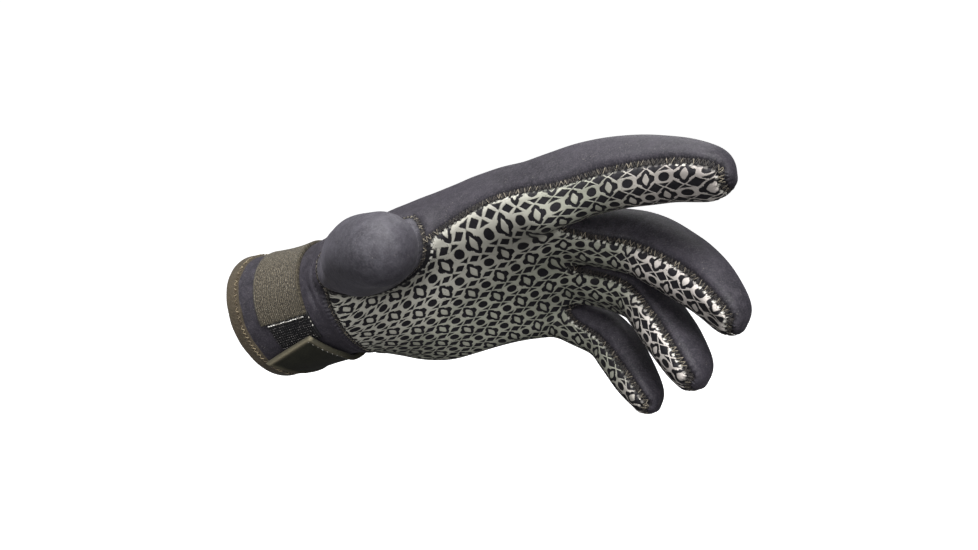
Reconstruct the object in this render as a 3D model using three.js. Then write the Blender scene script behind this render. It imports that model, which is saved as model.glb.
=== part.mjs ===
// A neoprene paddling glove for the left hand, filled as if worn, with the palm
// turned forwards and down, the thumb pointing at the viewer and the fingers
// curling to the right. Millimetres, +Z up. The origin is the middle of the
// wrist opening.
//
// The form is first drawn in a frame of the hand: x towards the fingertips, y
// towards the little finger, z out of the back of the hand. A coarse net of
// rings (cuff, palm, four fingers, thumb) is smoothed once with the
// Catmull-Clark rule. Each sewn panel is a part of that net, thickened inwards
// to a neoprene wall, so the glove is hollow and open at the cuff.
import * as THREE from "three";

// Sizes in mm, angles in degrees.
const WALL = 2.6; // neoprene wall
const GAP = 0.3; // between neighbouring pieces
const CUFF_LENGTH = 58; // hem to the wrist seam
// The hem's middle in the hand frame, the cuff's turn against the palm, how much
// slimmer it is halfway, and how far it bows there towards the little finger and
// the back of the hand.
const CUFF = { hem: [-63, -4.4, 9.1], lean: 3.4, sway: -2.1, waist: 2.3, bow: [0.7, -0.3] };
// The cuff's ovals. skew: how much slimmer they are across one diagonal.
const HEM = { width: 67.4, depth: 59.8, skew: -1.45 };
const WRIST = { width: 61.8, depth: 54.9, skew: -1.6 };
const STEP = 10; // degrees between the 36 columns round the hand
const FULLER = 1.045; // a 12-sided net of this size smooths to the stated size
const BASE_BEND = 9; // mm over which a joint bends, each way

// Distances of the cuff's rings from the hem: binding, strap, strap, seam.
const CUFF_RINGS = [0, 6.5, 17, 30, 44, CUFF_LENGTH];

// How far each palm ring lies from the wrist seam (0) to the knuckles (1).
const PALM_RINGS = [0, 0.2, 0.4, 0.58, 0.8, 1];
// Rings beyond the knuckles, to the web between the fingers, in mm.
const WEB_RINGS = [0.5, 1];

// knuckle: position. spread: towards the little finger. bend: at the three
// joints. bone: lengths. width and depth: at the knuckle, middle joint, last
// joint and tip. pad: how much deeper the pad's side is, from the web on. seam:
// angle of the near seam. web: length that is joined to the next finger.
const FINGERS = [
  {
    knuckle: [92, -32.2, 5.6], spread: -5.9, bend: [10.5, 14.7, 17.1],
    bone: [45, 27, 26.5], width: [26, 26, 23.5, 20], depth: [33, 29, 25.3, 19.2],
    pad: [7.5, 2.7, 2, -4.1], seam: [218, 218, 207, 188], web: 18,
  },
  {
    knuckle: [95, -8, 6.2], spread: 5.9, bend: [21.1, 31.2, 22.3],
    bone: [49, 31, 28.4], width: [23, 24, 22.5, 19], depth: [29, 27.4, 23.9, 18.5],
    pad: [-3, 2.4, 2.4, -6.2], seam: [219, 219, 207, 188], web: 15,
  },
  {
    knuckle: [90, 15.4, 3.8], spread: 3.6, bend: [31.8, 34.4, 8.1],
    bone: [46, 29, 24.4], width: [22, 23, 21.5, 18.5], depth: [27, 26, 22.9, 17.9],
    pad: [-6, -4.6, 0.3, -2.3], seam: [188, 188, 190, 190], web: 13,
  },
  {
    knuckle: [81, 36.1, -1], spread: 6.8, bend: [36.8, 32, 3.7],
    bone: [36, 21, 22.6], width: [21, 20.5, 19, 16.5], depth: [25, 23.1, 20.8, 15.8],
    pad: [-1.5, -0.2, 1.2, -2], seam: [212, 212, 200, 190], web: 11,
  },
];
// The seam on the side away from the thumb, as an angle round each finger.
const FAR_SEAM = 345;

// The thumb leaves the side of the palm. out: from the fingers' direction
// towards the thumb side. down: towards the palm.
const THUMB = {
  base: [26.3, -21.9, -9], out: 73.1, down: 32, bend: [30.3, 22.8],
  bone: [43, 33, 27], width: [35.5, 30.5, 26.5, 23.5], depth: [33, 30, 27, 24],
};
const THUMB_RINGS = [34, 48, 62, 76, 88];
// Rings over a fingertip, as angles up its rounded end.
const TIP_ANGLES = [0, 32, 60];
// The thumb's seam. For each palm ring from the wrist seam on, some columns move
// round to make room for it: they stand at these places between the columns.
const THUMB_HOLE = [
  { 28: 27.7, 29: 28.3, 30: 28.9, 31: 29.5, 32: 30.2, 33: 31.5, 34: 32.9, 35: 34.3, 0: 35.8 },
  {
    26: 25.7, 27: 26.3, 28: 26.9, 29: 27.4, 30: 27.9, 31: 28.3, 32: 28.8, 33: 31, 34: 32.5,
    35: 33.6, 0: 35.2, 1: 36.7,
  },
  {
    26: 25.7, 27: 26.3, 28: 26.8, 29: 27.3, 30: 27.8, 31: 28.2, 32: 28.6, 33: 31, 34: 32.5,
    35: 33.6, 0: 35.2, 1: 36.7,
  },
  {
    26: 25.8, 27: 26.5, 28: 27.2, 29: 27.9, 30: 28.6, 31: 29.3, 32: 30, 33: 33, 34: 33.4,
    35: 34, 0: 35.4, 1: 36.8,
  },
  { 27: 26.8, 28: 27.6, 29: 28.4, 30: 29.2, 31: 30.1, 32: 31.1 },
];
// Its far corner is drawn in towards the wrist by these shares, by column.
const THUMB_CORNER = { 34: 0.45, 35: 0.75, 0: 0.3 };

// Soft mounds of the hand, in mm: middle (x, y), reach, and height along the
// direction `to` (y, z), for the columns that face that way.
const MOUNDS = [
  { at: [28, -12], reach: 24, to: [0, -1], height: 7.7 }, // ball of the thumb
  { at: [24, 30], reach: 26, to: [0.4, -0.9], height: 15.5 }, // heel of the palm
  { at: [66, 4], reach: 20, to: [0, -1], height: -2 }, // hollow
  { at: [62, -24], reach: 42, to: [0, 1], height: 13.8 }, // back of the hand
  { at: [95, -38], reach: 20, to: [-0.6, 0.8], height: 3.1 }, // index knuckle
  { at: [8, -2], reach: 22, to: [0.5, -0.87], height: 1.4 }, // start of the heel
  { at: [74, -30], reach: 22, to: [-0.5, 0.87], height: -2.3 }, // before the knuckle
  { at: [78, 36], reach: 18, to: [0.5, -0.87], height: 1.8 }, // edge of the palm
];

// The strap's free end: hem-side edge and hand-side edge, each as distance from
// the hem and angle round the cuff, and the height of its middle layer.
const TAB_THICK = 1.8;
const TAB = [
  [8.2, -91, 40.8, -104, 3.4],
  [11.5, -80, 47, -84, 3.3],
  [15, -62, 49, -68, 2.5],
  [16.6, -46, 45.5, -47, 1.5],
  [16.8, -16, 44.2, -16, 1.35],
  [16.8, 18, 44.2, 18, 1.35],
];

// How the glove is held: turns of the hand frame about X, Y and Z.
const HOLD = { x: -53.8, y: -20.2, z: -17.9 };

const rad = THREE.MathUtils.degToRad;
const lerp = THREE.MathUtils.lerp;
const V = (x, y, z) => new THREE.Vector3(x, y, z);
const smooth = (t) => THREE.MathUtils.smoothstep(t, 0, 1);
const cos = (a) => Math.cos(rad(a));
const mix = (a, b, t) => a.clone().lerp(b, t);

// A value from a short list of values at given stations.
function along(stations, values, s) {
  let i = 0;
  while (i < stations.length - 2 && s > stations[i + 1]) i += 1;
  const t = (s - stations[i]) / (stations[i + 1] - stations[i]);
  return lerp(values[i], values[i + 1], THREE.MathUtils.clamp(t, 0, 1));
}

// The middle line of a limb. `turn(s)` gives its direction at length s, and
// the line is followed in steps of half a millimetre.
function middleLine(start, turn, from, to) {
  const points = [];
  const p = start.clone();
  const step = 0.5;
  for (let s = from; s <= to + step; s += step) {
    points.push(p.clone());
    p.addScaledVector(turn(s + step / 2), step);
  }
  return (s) => {
    const f = THREE.MathUtils.clamp((s - from) / step, 0, points.length - 1.001);
    const i = Math.floor(f);
    return mix(points[i], points[i + 1], f - i);
  };
}

// A finger: point(s, angle) on its net, with angle 0 on the little-finger
// side, 90 on the back and 270 on the pad.
function finger(f) {
  const joints = [0, f.bone[0], f.bone[0] + f.bone[1]];
  const length = joints[2] + f.bone[2];
  const flex = (s) =>
    rad(joints.reduce((sum, j, i) =>
      sum + f.bend[i] * smooth((s - j + BASE_BEND) / (2 * BASE_BEND)), 0));
  const spread = (s) => rad(f.spread * smooth((s + BASE_BEND) / (2 * BASE_BEND)));
  const direction = (s) => {
    const a = spread(s), b = flex(s);
    return V(Math.cos(a) * Math.cos(b), Math.sin(a) * Math.cos(b), -Math.sin(b));
  };
  const lead = 12;
  const start = V(...f.knuckle).add(V(-lead, 0, 0));
  const centre = middleLine(start, direction, -lead, length + 4);
  const stations = [0, joints[1], joints[2], length];
  const point = (s, angle, grow = 1) => {
    const d = direction(s), a = spread(s);
    const side = V(-Math.sin(a), Math.cos(a), 0);
    const back = d.clone().cross(side);
    const w = (along(stations, f.width, s) / 2) * FULLER * grow;
    const pad = along([f.web, ...stations.slice(1)], f.pad, s) * smooth(s / f.web);
    const low = Math.max(0, -Math.sin(rad(angle)));
    const h = ((along(stations, f.depth, s) / 2) * FULLER + pad * low) * grow;
    return centre(s)
      .addScaledVector(side, w * Math.cos(rad(angle)))
      .addScaledVector(back, h * Math.sin(rad(angle)));
  };
  // Twelve columns: three on the back, then even steps to both seams.
  const angles = (s) => {
    const near = along(stations, f.seam, s);
    const far = FAR_SEAM - 360;
    const steps = (a, b, n) => Array.from({ length: n }, (_, i) => lerp(a, b, i / n));
    return [120, 90, ...steps(60, far, 3), ...steps(FAR_SEAM, near, 4), ...steps(near, 120, 3)];
  };
  const radius = f.width[3] / 2;
  const rings = [f.web + 12, joints[1] - 3, joints[1] + 7, joints[2] - 6, joints[2] + 5];
  return { point, centre, direction, angles, length, radius, rings, web: f.web };
}

const fingers = FINGERS.map(finger);

// The thumb, with angle 0 towards the fingers and 90 towards the back.
const thumb = (() => {
  const joints = [THUMB.bone[0], THUMB.bone[0] + THUMB.bone[1]];
  const length = joints[1] + THUMB.bone[2];
  const direction = (s) => {
    const a = rad(THUMB.out - joints.reduce((sum, j, i) =>
      sum + THUMB.bend[i] * smooth((s - j + BASE_BEND) / (2 * BASE_BEND)), 0));
    const e = rad(THUMB.down);
    return V(Math.cos(a) * Math.cos(e), -Math.sin(a) * Math.cos(e), -Math.sin(e));
  };
  const centre = middleLine(V(...THUMB.base), direction, 0, length + 4);
  const stations = [0, joints[0], joints[1], length];
  const point = (s, angle, grow = 1) => {
    const d = direction(s);
    const back = V(0, 0, 1).addScaledVector(d, -d.z).normalize();
    const front = back.clone().cross(d);
    const w = (along(stations, THUMB.width, s) / 2) * FULLER * grow;
    const h = (along(stations, THUMB.depth, s) / 2) * FULLER * grow;
    return centre(s)
      .addScaledVector(front, w * Math.cos(rad(angle)))
      .addScaledVector(back, h * Math.sin(rad(angle)));
  };
  const angles = () => Array.from({ length: 12 }, (_, j) => 135 - 30 * j);
  return { point, centre, direction, angles, length, radius: THUMB.width[3] / 2 };
})();

// The cuff: point(h, angle, lift), h mm from the hem towards the hand. Its oval
// eases from the hem's size to the wrist's, with the waist and bow halfway.
const cuff = (() => {
  const lean = rad(CUFF.lean), sway = rad(CUFF.sway);
  const axis = V(Math.cos(lean) * Math.cos(sway), Math.sin(sway), -Math.sin(lean));
  axis.normalize();
  const side = V(0, 1, 0).addScaledVector(axis, -axis.y).normalize();
  const back = axis.clone().cross(side);
  const hem = V(...CUFF.hem);
  const point = (h, angle, lift = 0) => {
    const u = THREE.MathUtils.clamp(h / CUFF_LENGTH, 0, 1);
    const t = smooth(u);
    const belly = 4 * u * (1 - u);
    const skew = lerp(HEM.skew, WRIST.skew, t) * Math.sin(rad(2 * angle));
    const more = lift + skew - CUFF.waist * belly;
    const w = lerp(HEM.width, WRIST.width, t) / 2 + more;
    const d = lerp(HEM.depth, WRIST.depth, t) / 2 + more;
    return hem.clone()
      .addScaledVector(axis, h)
      .addScaledVector(side, CUFF.bow[0] * belly)
      .addScaledVector(back, CUFF.bow[1] * belly)
      .addScaledVector(side, w * Math.cos(rad(angle)))
      .addScaledVector(back, d * Math.sin(rad(angle)));
  };
  return { axis, hem, point };
})();

// The net: points, and faces as { at: corners, panel, row, col }.
const points = [];
const faces = [];
const addPoint = (p) => points.push(p) - 1;

// The 36 columns round the hand, from the back of the index finger over the
// back to the little finger, and along the palm to the index finger again.
const COLUMNS = 36;
const columnAngle = (c) => 90 - (c - 7) * STEP;
const BACK_ANGLES = [120, 90, 60];
const PAD_ANGLES = [300, 270, 240];

// Positions of all columns at length s past the knuckles (a share of the web).
function fingerRow(share) {
  const at = (i, angle) => fingers[i].point(share * fingers[i].web, angle);
  const dip = lerp(35, 0, smooth(share)); // knuckle furrows fade to the wrist
  const between = (i, a, b) => mix(at(i, a), at(i + 1, b), 0.5);
  const row = [];
  for (let i = 0; i < 4; i += 1) {
    for (const a of BACK_ANGLES) row.push(at(i, a));
    if (i < 3) row.push(between(i, 30 + dip, 150 - dip));
  }
  for (const a of [30, 0, 330]) row.push(at(3, a));
  for (let i = 3; i >= 0; i -= 1) {
    for (const a of PAD_ANGLES) row.push(at(i, a));
    if (i > 0) row.push(between(i - 1, 330 - dip, 210 + dip));
  }
  for (const a of [210, 180, 150]) row.push(at(0, a));
  return row;
}

// A palm ring: between the wrist's oval and the knuckles, with the mounds.
const knuckles = fingerRow(0);
function palmRow(t) {
  const row = [];
  for (let c = 0; c < COLUMNS; c += 1) {
    const p = mix(cuff.point(CUFF_LENGTH, columnAngle(c)), knuckles[c], t);
    for (const m of MOUNDS) {
      const a = rad(columnAngle(c));
      const facing = m.to[0] * Math.cos(a) + m.to[1] * Math.sin(a);
      const away = Math.hypot(p.x - m.at[0], p.y - m.at[1]) / m.reach;
      const push = m.height * Math.exp(-away * away) * smooth(facing * 2);
      p.y += m.to[0] * push;
      p.z += m.to[1] * push;
    }
    row.push(p);
  }
  return row;
}

// Rows of the cuff, then of the palm, then to the web.
const rows = [];
for (const h of CUFF_RINGS) {
  rows.push(Array.from({ length: COLUMNS }, (_, c) => cuff.point(h, columnAngle(c))));
}
for (const t of PALM_RINGS.slice(1)) rows.push(palmRow(t));
for (const share of WEB_RINGS) rows.push(fingerRow(share));

const SEAM_ROW = CUFF_RINGS.length - 1;
THUMB_HOLE.forEach((places, r) => {
  const row = rows[SEAM_ROW + r];
  rows[SEAM_ROW + r] = row.map((p, c) => {
    const at = places[c] ?? c;
    const low = Math.floor(at);
    return mix(row[low % COLUMNS], row[(low + 1) % COLUMNS], at - low);
  });
});
for (const [c, share] of Object.entries(THUMB_CORNER)) {
  rows[SEAM_ROW + 3][c].lerp(rows[SEAM_ROW + 2][c], share);
}
const ids = rows.map((row) => row.map(addPoint));

const THUMB_ROWS = [SEAM_ROW, SEAM_ROW + 3];
const THUMB_COLUMNS = [32, 35];
const PALM_COLUMNS = [17, 33];
const inRange = (i, [a, b]) => i >= a && i < b;

for (let r = 0; r + 1 < ids.length; r += 1) {
  for (let c = 0; c < COLUMNS; c += 1) {
    if (inRange(r, THUMB_ROWS) && inRange(c, THUMB_COLUMNS)) continue;
    const n = (c + 1) % COLUMNS;
    const panel = r < SEAM_ROW ? "cuff" : inRange(c, PALM_COLUMNS) ? "palm" : "back";
    faces.push({
      at: [ids[r][c], ids[r + 1][c], ids[r + 1][n], ids[r][n]], panel, row: r, col: c,
    });
  }
}

// How much wider each point of a ring is drawn where its steps are uneven, so
// that the ring smooths to the same size as one with steps of 30 degrees.
function evened(angles) {
  const step = (j) => angles[(j + 1) % 12] - angles[j];
  return angles.map((a, j) =>
    (2 / 3 + cos(30) / 3) / (2 / 3 + (cos(step(j)) + cos(step((j + 11) % 12))) / 6));
}

// A tube from a base ring of 12 points through further rings to a closed tip.
function tube(limb, base, stations, panelOf) {
  const rings = [];
  let ring = base;
  const join = (s, size) => {
    const angles = limb.angles(s);
    const grow = evened(angles);
    const next = angles.map((a, j) => addPoint(limb.point(s, a, size * grow[j])));
    for (let j = 0; j < 12; j += 1) {
      const n = (j + 1) % 12;
      faces.push({ at: [ring[j], next[j], next[n], ring[n]], panel: panelOf(j, false) });
    }
    ring = next;
    rings.push(ring);
  };
  for (const s of stations) join(s, 1);
  const rim = limb.length - limb.radius;
  for (const up of TIP_ANGLES) join(rim + limb.radius * Math.sin(rad(up)), cos(up));
  const pole = addPoint(limb.centre(limb.length + 0.6));
  for (let j = 0; j < 12; j += 1) {
    faces.push({ at: [ring[j], pole, ring[(j + 1) % 12]], panel: panelOf(j, true) });
  }
  return rings;
}

// The middles of the three webs lie a little back from their edges.
const last = ids[ids.length - 1];
const webs = [0, 1, 2].map((i) => {
  const a = fingers[i], b = fingers[i + 1];
  return addPoint(mix(a.point(a.web - 1.5, 0), b.point(b.web - 1.5, 180), 0.5));
});
fingers.forEach((f, i) => {
  const first = 4 * i;
  const backs = [0, 1, 2, 3].map((k) => last[first + k]);
  const far = i < 3 ? [webs[i], last[29 - first]] : [last[16], last[17]];
  const pads = [0, 1, 2].map((k) => last[30 - first + k]);
  const near = i > 0 ? [last[33 - first], webs[i - 1], last[first - 1]]
    : [last[33], last[34], last[35]];
  const base = [...backs, ...far, ...pads, ...near];
  const panelOf = (j, tip) => (!tip && j >= 5 && j < 9 ? "palm" : "back");
  tube(f, base, f.rings, panelOf);
});

// The thumb's base goes clockwise round the hole in the side of the palm.
const hole = (k, c) => ids[THUMB_ROWS[0] + k][c];
const thumbBase = [
  hole(0, 35), hole(1, 35), hole(2, 35), hole(3, 35), hole(3, 34), hole(3, 33),
  hole(3, 32), hole(2, 32), hole(1, 32), hole(0, 32), hole(0, 33), hole(0, 34),
];
const thumbRings = tube(thumb, thumbBase, THUMB_RINGS, () => "thumb");

// One step of the Catmull-Clark rule. The first points of the result are the
// old corners, and each new face keeps what its old face says.
function smoothNet(net) {
  const { points: P, faces: F } = net;
  const edges = new Map();
  const key = (a, b) => (a < b ? `${a} ${b}` : `${b} ${a}`);
  const middles = F.map((f) =>
    f.at.reduce((sum, i) => sum.add(P[i]), V(0, 0, 0)).divideScalar(f.at.length));
  F.forEach((f, fi) => f.at.forEach((a, k) => {
    const b = f.at[(k + 1) % f.at.length];
    const e = edges.get(key(a, b)) || { a, b, faces: [] };
    e.faces.push(fi);
    edges.set(key(a, b), e);
  }));
  const Q = P.map(() => null);
  const around = P.map(() => ({ faces: V(0, 0, 0), n: 0, mids: V(0, 0, 0), m: 0, rim: [] }));
  F.forEach((f, fi) => f.at.forEach((i) => {
    around[i].faces.add(middles[fi]);
    around[i].n += 1;
  }));
  for (const e of edges.values()) {
    const mid = mix(P[e.a], P[e.b], 0.5);
    for (const i of [e.a, e.b]) {
      around[i].mids.add(mid);
      around[i].m += 1;
      if (e.faces.length === 1) around[i].rim.push(mid);
    }
    e.point = e.faces.length === 1 ? mid
      : mid.clone().multiplyScalar(2).add(middles[e.faces[0]]).add(middles[e.faces[1]])
        .divideScalar(4);
  }
  P.forEach((p, i) => {
    const v = around[i];
    if (v.rim.length === 2) {
      Q[i] = p.clone().multiplyScalar(2).add(v.rim[0]).add(v.rim[1]).divideScalar(4);
      return;
    }
    const n = v.n;
    Q[i] = v.faces.divideScalar(n)
      .addScaledVector(v.mids, 2 / v.m)
      .addScaledVector(p, n - 3)
      .divideScalar(n);
  });
  const facePoint = middles.map((m) => Q.push(m) - 1);
  for (const e of edges.values()) e.id = Q.push(e.point) - 1;
  const out = [];
  F.forEach((f, fi) => f.at.forEach((i, k) => {
    const n = f.at.length;
    const after = edges.get(key(i, f.at[(k + 1) % n])).id;
    const before = edges.get(key(f.at[(k + n - 1) % n], i)).id;
    out.push({ ...f, at: [i, after, facePoint[fi], before], old: fi });
  }));
  return { points: Q, faces: out, edgeId: (a, b) => edges.get(key(a, b)).id };
}

// The palm, and the start of the thumb, are faired: some points move part of
// the way to the middle of the points next to them, several times.
function fair(movable, times, share) {
  const next = points.map(() => new Set());
  for (const f of faces) {
    f.at.forEach((a, k) => {
      const b = f.at[(k + 1) % f.at.length];
      next[a].add(b);
      next[b].add(a);
    });
  }
  const moving = movable.filter((i) => next[i].size > 0);
  for (let t = 0; t < times; t += 1) {
    const goals = moving.map((i) => {
      const sum = V(0, 0, 0);
      next[i].forEach((j) => sum.add(points[j]));
      return sum.divideScalar(next[i].size);
    });
    moving.forEach((i, k) => points[i].lerp(goals[k], share));
  }
}
const PALM_IDS = ids.slice(SEAM_ROW + 1, ids.length - 1).flat();
const SEAM_IDS = [31, 32, 33, 34, 35].map((c) => ids[SEAM_ROW][c]);
fair([...PALM_IDS, ...thumbRings[0]], 3, 0.5);
fair(SEAM_IDS, 1, 0.35);

const coarse = { points, faces };
const fine = smoothNet(coarse);

// The direction out of the surface at each point of the smoothed net.
const normals = fine.points.map(() => V(0, 0, 0));
for (const f of fine.faces) {
  const [a, b, c, d] = f.at.map((i) => fine.points[i]);
  const n = c.clone().sub(a).cross(d.clone().sub(b));
  for (const i of f.at) normals[i].add(n);
}
normals.forEach((n) => n.normalize());

// The outline edges of some faces, each running as its face does.
function outline(list) {
  const seen = new Map();
  for (const f of list) {
    f.at.forEach((a, k) => seen.set(`${a} ${f.at[(k + 1) % f.at.length]}`,
      [a, f.at[(k + 1) % f.at.length]]));
  }
  return [...seen.values()].filter(([a, b]) => !seen.has(`${b} ${a}`));
}

// A panel as a closed solid: its outer face is the smoothed net, its inner
// face the coarse one, and a rim joins them. The rim is set back so that
// neighbouring panels keep their gap.
function shell(pick, outer, inner) {
  const fineFaces = fine.faces.filter((f) => pick(coarse.faces[f.old]));
  const coarseFaces = coarse.faces.filter(pick);
  const inset = new Map();
  for (const [a, b] of outline(fineFaces)) {
    const run = fine.points[b].clone().sub(fine.points[a]).normalize();
    for (const i of [a, b]) {
      const inwards = normals[i].clone().cross(run).normalize();
      inset.set(i, [...(inset.get(i) || []), inwards]);
    }
  }
  const place = (i, lift) => {
    const p = fine.points[i].clone().addScaledVector(normals[i], lift);
    const w = inset.get(i);
    if (w) {
      const sum = w[0].clone().add(w[1] || w[0]);
      const mitre = Math.min(2, 2 / Math.max(0.5, sum.lengthSq() / 2));
      p.addScaledVector(sum, (GAP / 2) * (mitre / 2));
    }
    return p;
  };
  const at = new Map();
  const out = [];
  const index = [];
  const id = (i, side) => {
    const k = `${i} ${side}`;
    if (!at.has(k)) {
      at.set(k, out.length / 3);
      out.push(...place(i, side ? inner : outer).toArray());
    }
    return at.get(k);
  };
  // A face of four corners is cut along its shorter diagonal.
  const cut = (corners) => {
    const [a, b, c, d] = corners;
    const apart = (i, j) => V(...out.slice(3 * i, 3 * i + 3))
      .distanceTo(V(...out.slice(3 * j, 3 * j + 3)));
    if (d === undefined) index.push(a, b, c);
    else if (apart(a, c) < apart(b, d)) index.push(a, b, c, a, c, d);
    else index.push(b, c, d, b, d, a);
  };
  for (const f of fineFaces) cut(f.at.map((i) => id(i, 0)));
  for (const f of coarseFaces) cut([...f.at].reverse().map((i) => id(i, 1)));
  for (const [a, b] of outline(coarseFaces)) {
    const m = id(fine.edgeId(a, b), 0);
    index.push(m, id(a, 0), id(a, 1), m, id(a, 1), id(b, 1), id(b, 0), m, id(b, 1));
  }
  const g = new THREE.BufferGeometry();
  g.setAttribute("position", new THREE.Float32BufferAttribute(out, 3));
  g.setIndex(index);
  return g;
}

// The strap's free end, as a bent slab over the cuff. Each row gives the two
// edges as (distance from the hem, angle) and the height over the cuff.
function freeEnd() {
  const rowsAt = TAB.map((r) => r.slice());
  const curve = (k, t) => {
    const i = Math.min(rowsAt.length - 2, Math.floor(t));
    const p = (j) => rowsAt[THREE.MathUtils.clamp(j, 0, rowsAt.length - 1)][k];
    const u = t - i, a = p(i - 1), b = p(i), c = p(i + 1), d = p(i + 2);
    return b + 0.5 * u * (c - a + u * (2 * a - 5 * b + 4 * c - d + u * (3 * (b - c) + d - a)));
  };
  const long = 4 * (rowsAt.length - 1), wide = 8;
  const out = [], index = [];
  for (const side of [1, -1]) {
    for (let i = 0; i <= long; i += 1) {
      const [h0, a0, h1, a1, high] = [0, 1, 2, 3, 4].map((k) => curve(k, i / 4));
      for (let j = 0; j <= wide; j += 1) {
        const w = j / wide;
        out.push(...cuff.point(lerp(h0, h1, w), lerp(a0, a1, w),
          high + side * (TAB_THICK / 2)).toArray());
      }
    }
  }
  const at = (i, j, low) => (low ? (long + 1) * (wide + 1) : 0) + i * (wide + 1) + j;
  const quad = (a, b, c, d) => index.push(a, c, b, a, d, c);
  for (let i = 0; i < long; i += 1) {
    for (let j = 0; j < wide; j += 1) {
      quad(at(i, j), at(i, j + 1), at(i + 1, j + 1), at(i + 1, j));
      quad(at(i, j, 1), at(i + 1, j, 1), at(i + 1, j + 1, 1), at(i, j + 1, 1));
    }
    quad(at(i, 0), at(i + 1, 0), at(i + 1, 0, 1), at(i, 0, 1));
    quad(at(i, wide), at(i, wide, 1), at(i + 1, wide, 1), at(i + 1, wide));
  }
  for (let j = 0; j < wide; j += 1) {
    quad(at(0, j), at(0, j, 1), at(0, j + 1, 1), at(0, j + 1));
    quad(at(long, j), at(long, j + 1), at(long, j + 1, 1), at(long, j, 1));
  }
  const g = new THREE.BufferGeometry();
  g.setAttribute("position", new THREE.Float32BufferAttribute(out, 3));
  g.setIndex(index);
  return g;
}

const part = new THREE.Group();
part.name = "paddling_glove";
part.rotation.set(rad(HOLD.x), rad(HOLD.y), rad(HOLD.z), "ZYX");

function add(name, geometry, color, roughness) {
  geometry.translate(-cuff.hem.x, -cuff.hem.y, -cuff.hem.z);
  const material = new THREE.MeshStandardMaterial({ color, roughness, metalness: 0 });
  material.name = name;
  const mesh = new THREE.Mesh(geometry, material);
  mesh.name = name;
  part.add(mesh);
}

const CHARCOAL = 0x4a474f, PRINT = 0x8f9281, OLIVE = 0x6a6552, BLACK = 0x1c1b1f;
const BINDING_ROWS = [0, 1], SLEEVE_ROWS = [1, SEAM_ROW], STRAP_ROWS = [2, 4];
const STRAP_COLUMNS = [-8, 14], PATCH_COLUMNS = [26, 28];
const onCuff = (f, rowsIn, [a, b]) =>
  f.panel === "cuff" && inRange(f.row, rowsIn) &&
  (inRange(f.col, [a, b]) || inRange(f.col - COLUMNS, [a, b]));

add("cuff_sleeve", shell((f) => f.panel === "cuff" && inRange(f.row, SLEEVE_ROWS), 0, -WALL),
  CHARCOAL, 0.85);
add("hem_binding", shell((f) => f.panel === "cuff" && inRange(f.row, BINDING_ROWS), 0.6, -3),
  OLIVE, 0.9);
add("back_panel", shell((f) => f.panel === "back", 0, -WALL), CHARCOAL, 0.85);
add("palm_panel", shell((f) => f.panel === "palm", 0, -WALL), PRINT, 0.7);
add("thumb_panel", shell((f) => f.panel === "thumb", 0, -WALL), CHARCOAL, 0.85);
add("wrist_strap", shell((f) => onCuff(f, STRAP_ROWS, STRAP_COLUMNS), 2.1, 0.5), OLIVE, 0.95);
add("hook_patch", shell((f) => onCuff(f, STRAP_ROWS, PATCH_COLUMNS), 1.8, 0.5), BLACK, 0.9);
add("strap_tab", freeEnd(), OLIVE, 0.95);

export default part;
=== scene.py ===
"""A neoprene paddling glove for the left hand, filled as if worn, on a pale studio floor.

The form is a coarse net of rings round the cuff, the palm, the four fingers and the thumb,
written as short tables in a frame of the hand and smoothed with the Catmull-Clark rule. Each
sewn panel is a part of that net, with its seams drawn in, and thickened inwards. The tapes, the
strap, the hooks and the threads are laid on the same surface.

Lengths are in millimetres and angles in degrees until a mesh is made, in metres.
Hand frame: x towards the fingertips, y towards the little finger, z out of the back.
"""
import math

import bpy
import numpy as np
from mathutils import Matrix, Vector


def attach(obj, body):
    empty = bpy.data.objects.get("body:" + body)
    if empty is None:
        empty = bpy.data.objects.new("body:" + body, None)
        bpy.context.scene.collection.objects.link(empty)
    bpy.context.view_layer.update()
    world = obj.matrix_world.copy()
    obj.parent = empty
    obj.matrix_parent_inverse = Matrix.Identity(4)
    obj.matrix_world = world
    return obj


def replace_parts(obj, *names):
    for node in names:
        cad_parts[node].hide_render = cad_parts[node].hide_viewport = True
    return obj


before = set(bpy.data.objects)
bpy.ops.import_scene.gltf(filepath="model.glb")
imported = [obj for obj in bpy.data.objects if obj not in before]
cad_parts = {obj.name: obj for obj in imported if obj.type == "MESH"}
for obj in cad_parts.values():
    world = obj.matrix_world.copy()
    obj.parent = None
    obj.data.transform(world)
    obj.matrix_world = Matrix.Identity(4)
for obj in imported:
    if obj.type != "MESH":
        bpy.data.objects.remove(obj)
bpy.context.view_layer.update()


# The same sizes as in the part's source, in mm and degrees.
WALL = 2.6  # neoprene wall
CUFF_LENGTH = 58.0  # hem to wrist seam
# The hem's middle, the cuff's turn against the palm, how much slimmer it is halfway, and how far
# it bows there towards the little finger and the back.
CUFF = {"hem": (-63.0, -4.4, 9.1), "lean": 3.4, "sway": -2.1, "waist": 2.3, "bow": (0.7, -0.3)}
# The cuff's ovals. skew: how much slimmer they are across one diagonal.
HEM = {"width": 67.4, "depth": 59.8, "skew": -1.45}
WRIST = {"width": 61.8, "depth": 54.9, "skew": -1.6}
STEP = 10.0  # degrees between the columns round the hand
FULLER = 1.045  # a ring of 12 points, this much larger, smooths to the stated size
BEND = 9.0  # a joint bends over this length each way
HOP = 0.5  # step along the middle line of a limb
LEAD = 12.0  # a finger's middle line starts this far before its knuckle
# Rings of the net: distances from the hem, shares of the way to the knuckles, shares of the web.
CUFF_RINGS = (0.0, 6.5, 17.0, 30.0, 44.0, CUFF_LENGTH)
PALM_RINGS = (0.2, 0.4, 0.58, 0.8, 1.0)
WEB_RINGS = (0.5, 1.0)
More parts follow.
